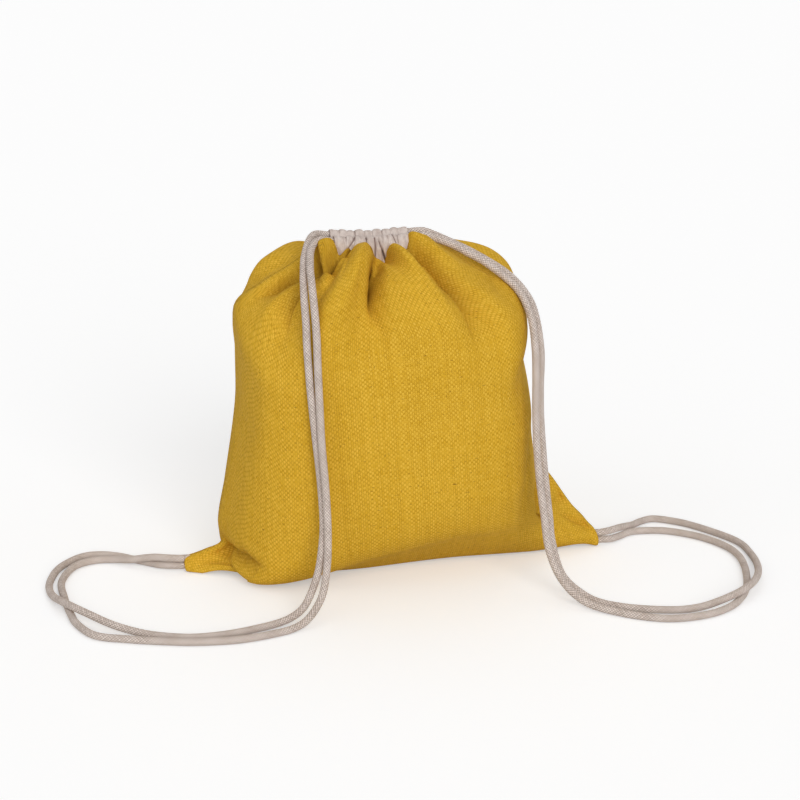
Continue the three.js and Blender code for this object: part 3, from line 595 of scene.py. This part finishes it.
back_crest = [
    [-1, -63.5, -0.3, 268], [-0.93, -59, -9, 268], [-0.8, -52, -18, 270], [-0.65, -47, -25, 272],
    [-0.5, -41, -24, 268], [-0.34, -35, -20, 263], [-0.2, -29, -26, 272], [-0.05, -22, -28, 273],
    [0.12, -14, -20, 262], [0.25, -8, -27, 272], [0.38, -3, -27, 272], [0.52, 2.5, -20, 264],
    [0.66, 8, -24, 272], [0.8, 14, -18, 275], [0.93, 22, -11, 274], [1, 26, -0.3, 271],
]
crest_at = 0.975  # the crest's place up the cloth
tuck_in, tuck_down = 4.0, 6.0
casing_out = 21.5  # from the middle plane to the front of a casing, where the creases have to stop
darkest = 18.0  # the depth at which a crease's painted shade is nearly as dark as it can be


def panel_surface(face, u, v, creases, crest):
    """The points and how deep in a crease each is, from 0 to 1, which the jute's colour uses for painted
    shade. The filled panel is pressed in along its gathers and creases, with a faint ripple of two
    crossing waves. Its last rows are drawn to the crest's table and then tucked in behind it, and in front
    of the casing the creases stop short."""
    points = filled_panel(face, u, v)
    pinned = smoothstep(1 - np.abs(u), 0, 0.045) * smoothstep(v, 0.02, 0.1)
    roll = smoothstep(v, 0.86, crest_at)
    pressed, slide = creases_depth(u, v, creases)
    near_mouth = smoothstep(v, 0.95, 0.972)
    depth = pleat_depth(face, u, v) * (1 - 0.9 * smoothstep(v, 0.915, 0.97)) + pressed * (1 - near_mouth)
    ripple = 0.5 * np.sin(9 * u + 3 * v) * np.sin(17 * v - 4 * u) + 0.3 * np.sin(23 * u - 11 * v)
    sideways = unit(np.gradient(points, axis=1))
    inward = -normals(points, face)
    points = points + inward * ((depth + ripple) * pinned)[..., None]
    points = points + sideways * (slide * pinned * (1 - near_mouth))[..., None]
    x, y, z = read_table(crest, u)
    goal = np.stack([x, -face * y, z], -1)
    at_crest = filled_panel(face, u, np.full_like(v, crest_at))
    points = points + (goal - at_crest) * roll[..., None]
    beside = window(points[..., 0], -56, -52, 9, 13)
    over_tube = smoothstep(points[..., 2], 250, 257) * (1 - smoothstep(v, 0.96, crest_at))
    points[..., 1] = face * np.maximum(face * points[..., 1], casing_out * beside * over_tube)
    tuck = smoothstep(v, crest_at, 1) * smoothstep(1 - np.abs(u), 0, 0.1)
    points[..., 1] -= face * tuck_in * tuck
    points[..., 2] -= tuck_down * tuck
    # The second result drives the jute's painted shade in the folds
    return points, 1 - np.exp(-((np.maximum(pressed * pinned, 0) / darkest) ** 1.6))


# %% [markdown]
# A real cord presses into the cloth that it lies on. After the folds, each point of a panel that would
# be inside a strand moves straight out of it, away from the strand's middle line, by just as much as it
# is inside. That leaves the shallow groove that a strap makes.

# %% Clearing the strands
press_gap = 0.35  # between a strand and the cloth that it presses in
in_corner, spacing = 40, 4  # the places of a path inside the corner, and how many of the others to skip


def clear_of_strands(points, inward):
    """Points nearer to a strand's middle line than its radius and a little more are moved along the
    inward direction until they aren't. The way there is the root of the right triangle between the
    nearest place on the line and the direction."""
    keep = (cord_radius + press_gap) * MM
    flat, way = points.reshape(-1, 3), inward.reshape(-1, 3)
    for path in strand_paths.values():
        places = path[:-in_corner:spacing]
        low, high = places.min(0) - 0.01, places.max(0) + 0.01
        near = np.nonzero(((flat > low) & (flat < high)).all(1))[0]
        for part in np.array_split(near, max(len(near) // 4000, 1)):
            offset = flat[part][:, None] - places[None]
            nearest = (offset**2).sum(-1).argmin(1)
            offset = offset[np.arange(len(part)), nearest]
            along = (offset * way[part]).sum(-1)
            inside = (offset**2).sum(-1) - keep**2
            push = -along + np.sqrt(np.maximum(along**2 - inside, 0))
            flat[part] += way[part] * (np.where(inside < 0, push, 0))[:, None]
    return flat.reshape(points.shape)


# %% The two panels
cloth_wall = 1.6
columns = 261
even_row = np.linspace(-1, 1, 4001)
closeness = 1 + 1.6 * sum(hump(even_row, fold, 0.16) for fold in (-0.58, -0.12, 0.38))
closeness = np.cumsum(closeness) - closeness[0]
u_row = np.interp(np.linspace(0, closeness[-1], columns), closeness, even_row)  # closer at the folds
v_spans = [(0, 0.06, 14), (0.06, 0.28, 46), (0.28, 0.7, 38), (0.7, 1, 88)]  # from, to, and rows
v_rows = np.concatenate([np.linspace(*span)[:-1] for span in v_spans] + [[1]])


def arc_across(points):
    """For each row of a grid, the length of cloth from its first column, in metres."""
    steps = np.linalg.norm(np.diff(points, axis=1), axis=-1)
    return np.concatenate([np.zeros((len(points), 1)), np.cumsum(steps, axis=1)], axis=1)


def cloth_corners(points, dividers):
    """The weave's place at each corner of each face, in metres of cloth. The threads keep their real
    spacing: each lobe measures its cloth from its own middle, and the lobes part along the folds, where
    the spare cloth is hidden. dividers are the folds' places across, one curve of u over v each."""
    across = arc_across(points)
    upward = arc_across(points.transpose(1, 0, 2)).T
    lobe = np.zeros(across.shape, int)
    for curve in dividers:
        fold = read_table(curve, np.clip(v_rows, curve[0][0], curve[-1][0]))[0]
        lobe += u_row[None, :] > fold[:, None]
    marks = [-1.0] + [curve[0][1] for curve in dividers] + [1.0]
    centres = (np.array(marks[:-1]) + marks[1:]) / 2
    join = np.searchsorted(v_rows, 0.76)
    middle, centre_columns = np.searchsorted(u_row, 0), np.searchsorted(u_row, centres)
    shift = across[join, centre_columns] - across[:, centre_columns]
    plain = across[join, middle] - across[:, middle]
    low = (np.arange(len(across)) < join)[:, None]
    shift = np.where(low, plain[:, None] + shift[join] - plain[join], shift)
    corner_rows, corner_columns = grid_corners(*across.shape)
    u_place = across[corner_rows, corner_columns] + shift[corner_rows, lobe[:-1, :-1].reshape(-1, 1)]
    return np.stack([u_place, upward[corner_rows, corner_columns]], -1)


front_dividers = [
    [[0.6, -0.45], [0.76, -0.44], [0.81, -0.5], [0.876, -0.517], [0.933, -0.433], [1, -0.4]],
    [[0.6, 0], [0.76, -0.05], [0.803, -0.097], [0.885, -0.15], [0.945, -0.098], [1, -0.02]],
    [[0.6, 0.4], [0.76, 0.372], [0.828, 0.355], [0.854, 0.395], [0.895, 0.475], [1, 0.55]],
]
back_dividers = [
    [[0.6, -0.24], [0.82, -0.3], [1, -0.34]],
    [[0.6, 0.12], [0.86, 0.15], [1, 0.12]],
    [[0.6, 0.44], [0.82, 0.47], [1, 0.52]],
]


def jute_panel(name, node, face, creases, crest, dividers):
    """A panel's surface on the grid of u and v, cleared of the strands, with a wall one cloth thick."""
    u, v = np.meshgrid(u_row, v_rows)
    points, fold = panel_surface(face, u, v, creases, crest)
    points = points * MM
    points[..., 1] = face * np.maximum(face * points[..., 1], seam_gap * MM)
    points[..., 2] = np.maximum(points[..., 2], 0)
    points = clear_of_strands(points, -normals(points, face))
    uv = cloth_corners(points, dividers)
    faces = grid_faces(len(v_rows), columns)
    if face > 0:
        faces, uv = faces[:, ::-1], uv[:, ::-1]
    points = points.reshape(-1, 3)
    piece = make_piece(name, node, "jute", points, [faces], uv, fold=fold)
    give_wall(piece, "cloth wall", cloth_wall)
    print(name, "reaches from", np.round(points.min(0), 3), "to", np.round(points.max(0), 3))
    return piece


front_jute = jute_panel("front_jute", "front_panel", -1, front_creases, front_crest, front_dividers)
back_jute = jute_panel("back_jute", "back_panel", 1, back_creases, back_crest, back_dividers)

# %% [markdown]
# The casings are cotton tubes, gathered on the cords into fat irregular folds. Each could be a plain tube
# with a bump texture, but the folds make the outline of the bag's top, so they are in the surface: every
# fold is a rounded ridge, and where two ridges meet there is a sharp crease.

# %% The gathered casings
casing_radius, casing_wall = 6.9, 0.5
casing_past = 1.2  # how far a casing reaches past the mouth's ends
casing_tall = 24.0  # from its top down to its seam
casing_rings, casing_sides = 260, 96
front_ridges = [  # the place at the top and low down, the half width and the height
    (-46, -47, 4.8, 0.9), (-37, -43.5, 3.6, 1.9), (-31, -37, 2.7, 2.3), (-27, -30.5, 2.2, 2.0),
    (-21.8, -22.5, 3.1, 2.9), (-14.8, -15.5, 2.9, 2.0), (-10, -10, 2.4, 2.2), (-3.8, -4.5, 4.0, 2.7),
    (4.6, 4.5, 4.5, 1.2), (11, 11.5, 2.8, 0.5),
]
back_ridges = [
    (-47, -47, 4.0, 0.8), (-40, -40, 3.3, 1.7), (-34, -33, 3.2, 1.3), (-26.5, -26, 3.9, 2.2),
    (-19.5, -19, 3.2, 1.2), (-12.5, -12, 3.8, 2.0), (-5, -5, 3.4, 1.3), (1.5, 1, 3.3, 1.6),
    (8.5, 8, 4.0, 0.5),
]
front_slits = [  # a dark crease from one place and height to another, its depth and width
    (-15.5, 277, -9.6, 259.5, 2.6, 0.8), (-12.2, 268, -9.4, 259, 2.4, 0.8),
    (-27.4, 284, -24.6, 277, 1.5, 0.7), (-18.2, 287, -16.8, 281, 1.5, 0.7),
    (-46, 284.5, -33.5, 279, 1.4, 1.6), (-33.5, 279.5, -42.5, 270, 1.7, 1.1),
    (-5, 281, -1.5, 274, 1.4, 0.7),
]


def casing_points(face, x, angle, ridges, slits, seam_y, seam_z):
    """The points, and how far each stands out of its fold, from 0 to 1, which the cotton's colour turns
    into painted shade. A ring is shaped like a drop: a circle round the two cords, drawn out to a point at
    the seam by a high power of the cosine of the angle from it. The ridges' outlines are half ellipses, and
    the highest counts. Fine wrinkles run across them, and a slit is a narrow bell-shaped groove, which
    also takes the relief down for painted shade in it."""
    centre = casing_height - sag(x)
    seam_angle = np.arctan2(seam_z - centre, seam_y - casing_middle)
    y = casing_middle + casing_radius * np.cos(angle)
    z = centre + casing_radius * np.sin(angle)
    pull = np.clip(np.cos(angle - seam_angle), 0, 1) ** 7
    y = y + pull * (seam_y - casing_middle - casing_radius * np.cos(seam_angle))
    z = z + pull * (seam_z - centre - casing_radius * np.sin(seam_angle))
    down = (casing_height + casing_radius - z) / casing_tall
    rise, relief = np.zeros((2, len(x), angle.size))
    for top, low, half, high in ridges:
        off = (x - mix(top, low, down)) / half
        ridge = np.sqrt(np.clip(1 - off**2, 0, None))
        rise, relief = np.maximum(rise, high * ridge), np.maximum(relief, ridge)
    wrinkle_deep, wrinkle_long = 0.22, 2.4
    bent = x + 1.6 * np.sin(2 * angle) + 0.9 * np.sin(x)
    rise = rise + wrinkle_deep * np.sin(2 * np.pi * bent / wrinkle_long)
    for top, top_z, low, low_z, deep, width in slits:
        share = (top_z - z) / (top_z - low_z)
        within = window(share, -0.15, 0.1, 0.9, 1.15)
        groove = within * np.exp(-(((x - mix(top, low, share)) / width) ** 2))
        # In a slit the relief drops, which the colour turns into painted shade
        rise, relief = rise - deep * groove, relief * (1 - groove)
    rise = rise * smoothstep(np.cos(angle - 0.3), -0.5, 0)
    way = np.maximum(angle, -0.15)
    return np.stack([x + 0 * z, face * (y + rise * np.cos(way)), z + rise * np.sin(way)], -1), relief


def cotton_casing(name, node, face, ridges, slits, seam_rows):
    """Drop-shaped rings from end to end of the mouth. seam_rows say where the seam lies along x."""
    x = np.linspace(left_end - casing_past, right_end + casing_past, casing_rings)[:, None]
    angle = np.linspace(0, 2 * np.pi, casing_sides, endpoint=False)[None] - np.pi / 2
    points, relief = casing_points(face, x, angle, ridges, slits, *read_table(seam_rows, x))
    corner_rows, corner_columns = grid_corners(casing_rings, casing_sides + 1)
    cloth_long, cloth_round = 0.17, 0.06  # of the cotton before it is gathered, in metres
    uv = np.stack([corner_rows / (casing_rings - 1) * cloth_long,
                   corner_columns / casing_sides * cloth_round], -1)
    faces = grid_faces(casing_rings, casing_sides, around=True)
    if face < 0:
        faces, uv = faces[:, ::-1], uv[:, ::-1]
    piece = make_piece(name, node, "cotton", points.reshape(-1, 3) * MM, [faces], uv, relief=relief)
    give_wall(piece, "cotton wall", casing_wall)
    print(name, "has", casing_rings, "rings of", casing_sides, "points")
    return piece


front_seam = [[-52, 17.5, 262], [-46, 19, 264], [-35, 20, 262], [-20, 17.5, 259], [-11, 16.6, 256.5],
              [-5, 18, 260], [2, 18.5, 264], [8, 17.5, 267], [13, 16, 268]]
back_seam = [[-52, 18, 262], [-35, 18, 260], [-14, 17.5, 259], [2, 17.5, 261], [13, 17.5, 266]]
front_casing = cotton_casing("front_casing", "front_channel", -1, front_ridges, front_slits, front_seam)
back_casing = cotton_casing("back_casing", "back_channel", 1, back_ridges, [], back_seam)

# %% [markdown]
# Inside, the seam allowances are overlocked: a strip of both cloths with threads looped round its edge.
# They hardly show, so each is a strip with one ridge for every loop of thread.

# %% The overlocked seam allowances
loop_long = 2.8
strip_half, loop_rise = 0.45, 0.2  # half the strip's thickness, and what a loop of thread adds


def overlock(name, outer, inner):
    """A strip between two edges with a ridge for each loop: its half thickness is strip_half plus
    loop_rise times the sine of the way along over the loops' spacing, and it closes along both edges."""
    steps = np.linalg.norm(np.diff(outer, axis=0), axis=1)
    reach = np.concatenate([[0], np.cumsum(steps)])
    even = np.linspace(0, reach[-1], max(int(reach[-1] / 0.7), 4))
    outer, inner = (np.stack([np.interp(even, reach, edge[:, axis]) for axis in range(3)], -1)
                    for edge in (outer, inner))
    turn = np.linspace(0, 2 * np.pi, 12, endpoint=False)
    ridge = strip_half + loop_rise * np.sin(2 * np.pi * even / loop_long)
    points = mix(outer[:, None], inner[:, None], (0.5 - 0.5 * np.cos(turn))[:, None])
    points[..., 1] += np.sin(turn) * ridge[:, None]
    rings, sides = points.shape[:2]
    faces = grid_faces(rings, sides, around=True)
    ends = np.arange(sides)
    caps = [ends[None, ::-1], ends[None] + (rings - 1) * sides]
    face_sets = [faces, *caps]
    if np.cross(outer[1] - outer[0], inner[0] - outer[0])[1] > 0:
        face_sets = [faces[:, ::-1] for faces in face_sets]
    return make_piece(name + "ing", name, "thread", points.reshape(-1, 3) * MM, face_sets)


def side_overlock(name, side, start):
    """Along a side seam, a little inside it, following the seam's line inwards by its own normal."""
    v = np.linspace(start, 0.94, 60)
    seam = filled_panel(-1, np.full(60, side * 1.0), v)
    seam[:, 1] = 0
    onward = unit(np.gradient(seam, axis=0))
    inward = np.stack([-side * onward[:, 2], 0 * v, side * onward[:, 0]], -1)
    return overlock(name, seam + inward * 2.4, seam + inward * 9)


bottom_edges = (np.array([[-126.0, 0, z], [126, 0, z]]) for z in (2.4, 9.0))
overlocks = [
    side_overlock("left_side_overlock", -1, 0.17), side_overlock("right_side_overlock", 1, 0.14),
    overlock("bottom_overlock", *bottom_edges),
]
print("Made", len(overlocks), "overlocked edges")


# %% [markdown]
# Materials are graphs of nodes. Typing each node and link is long, so a small helper adds them: a sum
# with an output, such as a * b + 1, makes the nodes that work it out. A material then reads like the
# formula that it is.

# %% A helper for node graphs
class Value:
    """The output of a node. Another output of the same node is value[name]."""

    def __init__(self, graph, socket):
        self.graph, self.socket = graph, socket

    def __getitem__(self, output):
        return Value(self.graph, self.socket.node.outputs[output])

    def __add__(self, other):
        return self.graph.math("ADD", self, other)

    def __sub__(self, other):
        return self.graph.math("SUBTRACT", self, other)

    def __rsub__(self, other):
        return self.graph.math("SUBTRACT", other, self)

    def __mul__(self, other):
        return self.graph.math("MULTIPLY", self, other)

    def __truediv__(self, other):
        return self.graph.math("DIVIDE", self, other)


class Graph:
    """Adds nodes to a tree. A source is a number, a tuple or a Value."""

    def __init__(self, tree):
        self.tree = tree

    def feed(self, socket, source):
        if isinstance(source, Value):
            self.tree.links.new(source.socket, socket)
        else:
            socket.default_value = source

    def node(self, kind, sources=(), **settings):
        node = self.tree.nodes.new("ShaderNode" + kind)
        for key, value in settings.items():
            setattr(node, key, value)
        for key, source in sources.items() if isinstance(sources, dict) else enumerate(sources):
            self.feed(node.inputs[key], source)
        return Value(self, node.outputs[0])

    def math(self, operation, *sources):
        return self.node("Math", sources, operation=operation)

    def remap(self, value, low, high, to_low=0.0, to_high=1.0):
        return self.node("MapRange", {"Value": value, "From Min": low, "From Max": high, "To Min": to_low,
                                      "To Max": to_high}, interpolation_type="SMOOTHSTEP")

    def blend(self, factor, first, second):
        """Between two colours. A typed one is as it shows on a screen, from 0 to 255. The node has
        sockets of the same names for other data, so these go by their numbers."""
        first, second = (linear(*c) if isinstance(c, tuple) else c for c in (first, second))
        return self.node("Mix", {0: factor, 6: first, 7: second}, data_type="RGBA")[2]

    def choose(self, mask, first, second):
        """The first where the mask is 1, and the second where it is 0."""
        return first * mask + second * (1.0 - mask)

    def noise(self, place, scale, detail=3.0):
        return self.node("TexNoise", {"Vector": place, "Scale": scale, "Detail": detail})["Fac"]

    def white(self, *parts):
        return self.node("TexWhiteNoise", {"Vector": self.node("CombineXYZ", parts)})["Value"]

    def pattern(self, group, **numbers):
        """A node group placed by the piece's own UV map."""
        uv = self.node("UVMap", uv_map="cloth")
        return self.node("Group", {"Place": uv, **numbers}, node_tree=group)

    def carried(self, name):
        """A number that each point of the mesh carries."""
        return self.node("Attribute", attribute_name=name)["Fac"]

    def bump(self, height, strength, deep):
        return self.node("Bump", {"Strength": strength, "Distance": deep, "Height": height})


def linear(red, green, blue):
    """A colour as it shows on a screen, from 0 to 255, as the light that a shader works with."""
    share = np.array([red, green, blue]) / 255
    light = np.where(share <= 0.04045, share / 12.92, ((share + 0.055) / 1.055) ** 2.4)
    return tuple(float(c) for c in light) + (1.0,)


def new_group(name, numbers, build):
    """A node group with the input Place, a vector, and the numbers as further inputs with their values.
    build works out the outputs by name, and they are numbers too."""
    tree = bpy.data.node_groups.new(name, "ShaderNodeTree")
    tree.interface.new_socket("Place", in_out="INPUT", socket_type="NodeSocketVector")
    for label, value in numbers.items():
        socket = tree.interface.new_socket(label, in_out="INPUT", socket_type="NodeSocketFloat")
        socket.default_value = value
    graph, entry = Graph(tree), tree.nodes.new("NodeGroupInput").outputs
    outputs = build(graph, *[Value(graph, entry[label]) for label in ("Place", *numbers)])
    for label in outputs:
        tree.interface.new_socket(label, in_out="OUTPUT", socket_type="NodeSocketFloat")
    result = tree.nodes.new("NodeGroupOutput").inputs
    for label, value in outputs.items():
        graph.feed(result[label], value)
    print("The group", name, "has", len(tree.nodes), "nodes")
    return tree


def dress(pieces, name, plain, paint):
    """A material with a Principled shader for all the pieces. paint says what goes into its sockets, and
    plain is the colour of the solid view."""
    material = bpy.data.materials.new(name)
    material.use_nodes = True
    material.diffuse_color = linear(*plain)
    graph, shader = Graph(material.node_tree), material.node_tree.nodes["Principled BSDF"]
    for label, source in paint(graph).items():
        graph.feed(shader.inputs[label], source)
    for piece in pieces:
        piece.data.materials.append(material)
    print("The", name, "covers", len(pieces), "pieces")


# %% [markdown]
# Plain weave is the simplest cloth: every warp thread goes over one weft thread and under the next. A
# picture of cloth could be tiled over the bag, but a formula stays sharp at any distance. Each family
# of threads is a row of rounded ridges that rise and dip like a wave, and the higher one shows.

# %% The plain weave
def build_weave(g, place, pitch, wander):
    """x and y are the place in threads. A warp thread's height is its round profile across, 1 - t^2.4,
    times 0.55 + 0.45 cos of half a turn for each weft thread. The weft's is the same, half a wave later."""
    parts = g.node("SeparateXYZ", [place])
    moved = g.node("VectorMath", [place, (3.1, 1.7, 0.4)], operation="ADD")
    x = (g.noise(place, 55.0, 2.0) - 0.5) * (wander * 8.0) + parts[0] / pitch
    y = (g.noise(moved, 70.0, 2.0) - 0.5) * (wander * 8.0) + parts[1] / pitch
    column, row = g.math("FLOOR", x), g.math("FLOOR", y)

    def family(across, line, onward, lag):
        thin = g.remap(g.white(line, lag, 0.0), 0.0, 1.0, 0.8, 1.15)
        t = g.math("ABSOLUTE", g.math("FRACT", across) * 2.0 - 1.0) * thin
        wave = g.math("COSINE", (onward + line + (lag - 0.5)) * np.pi)
        return (1.0 - g.math("POWER", t, 2.4)) * (wave * 0.45 + 0.55)

    def stretched(along_x, along_y, layer, detail=2.0):
        return g.noise(g.node("CombineXYZ", [along_x, along_y, layer]), 1.0, detail)

    warp, weft = family(x, column, y, 0.0), family(y, row, x, 1.0)
    warp_shows = g.math("GREATER_THAN", warp, weft)
    thread_tone = g.choose(warp_shows, g.white(column, 5.0, 0.0), g.white(row, 9.0, 0.0))
    slub = g.choose(warp_shows, stretched(column * 7.3, y * 0.11, 0.0), stretched(x * 0.11, row * 5.9, 4.0))
    lengthwise = g.remap(stretched(x * 0.35, y * 1.3, 0.0, 1.0), 0.7, 0.76)
    crosswise = g.remap(stretched(x * 1.3, y * 0.35, 7.0, 1.0), 0.72, 0.78)
    return {
        "Height": g.math("MAXIMUM", warp, weft) * g.remap(slub, 0.3, 0.7, 0.93, 1.05),
        "Warp": g.remap(warp - weft, -0.35, 0.35),
        "Tone": thread_tone * 0.3 + g.white(column, row, 2.0) * 0.7,
        "Slub": slub,
        "Fibre": g.math("MAXIMUM", lengthwise, crosswise),
    }


weave = new_group("plain weave", {"Pitch": 0.0014, "Wander": 0.06}, build_weave)


# %% The jute's material
jute_pitch = 1.8 * MM


def paint_jute(g):
    """The colour is the warp's or the weft's, whichever is on top. The warp is lighter than the weft,
    partly by the yarns' own tone and partly as painted highlight on the warp and painted shade on the weft.
    Each goes from dull to bright by its own tone and by slow patches, then towards the gaps' brown, which
    is painted shade between the threads, to dark fibres here and there, and to a deeper brown in the folds,
    which is painted shade."""
    cloth = g.pattern(weave, Pitch=jute_pitch)
    patches = g.noise(g.node("TexCoord")["Object"], 14.0)
    tone = g.remap(cloth["Tone"] * 0.5 + cloth["Slub"] * 0.3 + patches * 0.3, 0.2, 0.9)
    # Warp lighter than weft: partly the yarns' own tone, partly painted highlight and painted shade
    warp = g.blend(tone, (213, 166, 42), (231, 186, 66))
    weft = g.blend(tone, (194, 148, 33), (214, 168, 48))
    thread = g.blend(cloth["Warp"], weft, warp)
    # Painted shade: the weave's low parts between the threads go towards a darker brown
    colour = g.blend(g.remap(cloth["Height"], 0.0, 0.5), (174, 129, 27), thread)
    colour = g.blend(cloth["Fibre"] * 0.5, colour, (96, 66, 26))
    return {
        # Painted shade: the folds go towards a deeper brown by how deep in a crease each point is
        "Base Color": g.blend(g.carried("fold") * 0.8, colour, (104, 64, 8)),
        "Roughness": g.remap(cloth["Slub"], 0.3, 0.7, 0.9, 0.72),
        "Specular IOR Level": 0.12,
        "Normal": g.bump(cloth["Height"], 0.55, 0.45 * MM),
    }


dress([front_jute, back_jute], "jute", (206, 162, 50), paint_jute)

# %% [markdown]
# The casing's cotton is a fine twill: its threads step sideways by one each row, which draws fine slanting
# lines. At arm's length it looks nearly smooth, so the lines are faint, and soft patches and painted shade
# in the creases do most of the work.

# %% The cotton twill
def build_twill(g, place, pitch):
    """The height is 0.3 times the sine of a full turn for each pitch along the slant of x + y, and the
    rest is the yarn's own noise."""
    parts = g.node("SeparateXYZ", [place])
    wave = g.math("SINE", (parts[0] + parts[1]) / pitch * (2 * np.pi))
    return {"Height": wave * 0.3 + g.noise(place, 900.0, 2.0) * 0.7, "Tone": g.noise(place, 120.0)}


twill = new_group("cotton twill", {"Pitch": 0.0006}, build_twill)


def paint_cotton(g):
    """Pale cotton with faint patches, and twill lines as a shallow bump and as painted shade in their low
    parts. The relief that each point carries darkens it between the folds and in the slits: painted shade."""
    cloth = g.pattern(twill)
    colour = g.blend(g.remap(cloth["Tone"], 0.3, 0.7), (207, 191, 182), (230, 217, 209))
    # Painted shade in the twill's low parts
    colour = g.blend(g.remap(cloth["Height"], 0.0, 0.3, 0.25, 0.0), colour, (168, 150, 138))
    return {
        # Painted shade between the folds and in the slits, by the relief
        "Base Color": g.blend(g.remap(g.carried("relief"), 0.0, 0.55), (156, 134, 126), colour),
        "Roughness": 0.9,
        "Specular IOR Level": 0.2,
        "Normal": g.bump(cloth["Height"], 0.5, 0.2 * MM),
    }


dress([front_casing, back_casing], "cotton", (214, 201, 190), paint_cotton)

# %% [markdown]
# The cords' braid is already in their surface. The material adds what is finer: the plies within each
# yarn, a tone for each yarn, and painted shade in the grooves. It works out the same lattice as the
# surface, so the plies run along the yarn that is on top.

# %% The cord's material
def build_plies(g, place, yarns):
    """Place holds the way round and the way along in cells. a and b are the lattice's coordinates, their
    whole parts say which yarn is on top, and five ridges run along it."""
    parts = g.node("SeparateXYZ", [place])
    a, b = parts[0] * yarns + parts[1], parts[0] * yarns - parts[1]
    whole_a, whole_b = g.math("FLOOR", a), g.math("FLOOR", b)
    odd = g.math("FLOORED_MODULO", whole_a + whole_b, 2.0)
    tone_a = g.white(g.math("FLOORED_MODULO", whole_a, yarns), 0.0, 0.0)
    tone_b = g.white(g.math("FLOORED_MODULO", whole_b, yarns), 3.0, 0.0)
    ridges = g.math("SINE", g.choose(odd, b, a) * (2 * np.pi * 5))
    return {"Height": ridges * 0.5 + 0.5, "Tone": g.choose(odd, tone_b, tone_a)}


plies = new_group("braid plies", {"Yarns": 8.0}, build_plies)


def paint_cord(g):
    """Cream yarns, with painted shade in the grooves by the relief that each point carries, and plies
    as a bump.
    """
    strands = g.pattern(plies, Yarns=float(carriers))
    patches = g.noise(g.node("TexCoord")["Object"], 60.0)
    tone = g.remap(strands["Tone"] * 0.6 + patches * 0.6, 0.2, 0.9)
    yarn = g.blend(tone, (207, 192, 181), (234, 221, 212))
    return {
        # Painted shade in the braid's grooves, by the relief
        "Base Color": g.blend(g.remap(g.carried("relief"), 0.12, 0.75), (130, 112, 102), yarn),
        "Roughness": 0.85,
        "Specular IOR Level": 0.2,
        "Normal": g.bump(strands["Height"], 0.45, 0.12 * MM),
    }


dress(cord_pieces, "cord", (206, 194, 187), paint_cord)


# %% The overlock thread's material
def paint_thread(g):
    """Loops of thread across the strip, from waves on the object's own coordinates."""
    place = g.node("TexCoord")["Object"]
    loops = g.node("TexWave", {"Vector": place, "Scale": 320.0, "Distortion": 1.5, "Detail": 1.0})["Fac"]
    colour = g.blend(loops, (176, 132, 40), (226, 186, 90))
    return {"Base Color": colour, "Roughness": 0.75, "Normal": g.bump(loops, 0.5, 0.2 * MM)}


dress(overlocks, "thread", (210, 166, 60), paint_thread)

# %% [markdown]
# The photograph was taken in soft light on a white sweep, where only a faint shadow shows. Three suns with
# wide discs light the whole floor evenly, which small softboxes wouldn't. For the camera the floor also
# gives off just enough light of its own to be white, and the shadow that falls on it still shows.

# %% The floor, the lamps and the world
floor_half, white = 12, (1, 1, 1, 1)
floor_glow = 0.37
world_light = 0.42  # on the bag, and 1 where the world itself is seen
floor_mesh = bpy.data.meshes.new("floor")
floor_corners = [(x * floor_half, y * floor_half, 0) for x, y in ((-1, -1), (1, -1), (1, 1), (-1, 1))]
floor_mesh.from_pydata(floor_corners, [], [(0, 1, 2, 3)])
floor = bpy.data.objects.new("floor", floor_mesh)
scene.collection.objects.link(floor)


def seen_directly(g):
    """1 for rays from the camera, and for those that come by a mirror or through glass."""
    rays = g.node("LightPath")
    bent = g.math("MAXIMUM", rays["Is Glossy Ray"], rays["Is Transmission Ray"])
    return g.math("MAXIMUM", rays["Is Camera Ray"], bent)


def floor_material():
    """Pale paint, and light of its own that tops the lit paint up to white where it is seen directly."""
    material = bpy.data.materials.new("floor")
    material.use_nodes = True
    nodes, g = material.node_tree.nodes, Graph(material.node_tree)
    nodes.remove(nodes["Principled BSDF"])
    paint = g.node("BsdfDiffuse", {"Color": (0.8, 0.8, 0.8, 1)})
    glow = g.node("Emission", {"Color": white, "Strength": seen_directly(g) * floor_glow})
    g.feed(nodes["Material Output"].inputs["Surface"], g.node("AddShader", [paint, glow]))
    return material


floor_mesh.materials.append(floor_material())


def soft_sun(name, toward, disc, strength):
    """A sun with a wide disc, whose light comes from the direction toward."""
    data = bpy.data.lights.new(name, "SUN")
    data.angle, data.energy = np.radians(disc), strength
    lamp = bpy.data.objects.new(name, data)
    scene.collection.objects.link(lamp)
    lamp.rotation_euler = Vector(toward).to_track_quat("Z", "Y").to_euler()


soft_sun("key sun", (0.1, -0.88, 0.42), 36, 1.5)
soft_sun("fill sun", (-0.7, -0.55, 0.45), 60, 0.35)
soft_sun("top sun", (0.1, 0.5, 0.85), 45, 0.3)

scene.world = bpy.data.worlds.new("studio")
scene.world.use_nodes = True
world_graph = Graph(scene.world.node_tree)
background = scene.world.node_tree.nodes["Background"].inputs
world_graph.feed(background["Color"], white)
world_graph.feed(background["Strength"], seen_directly(world_graph) * (1 - world_light) + world_light)
print("The studio has three suns and a white world")
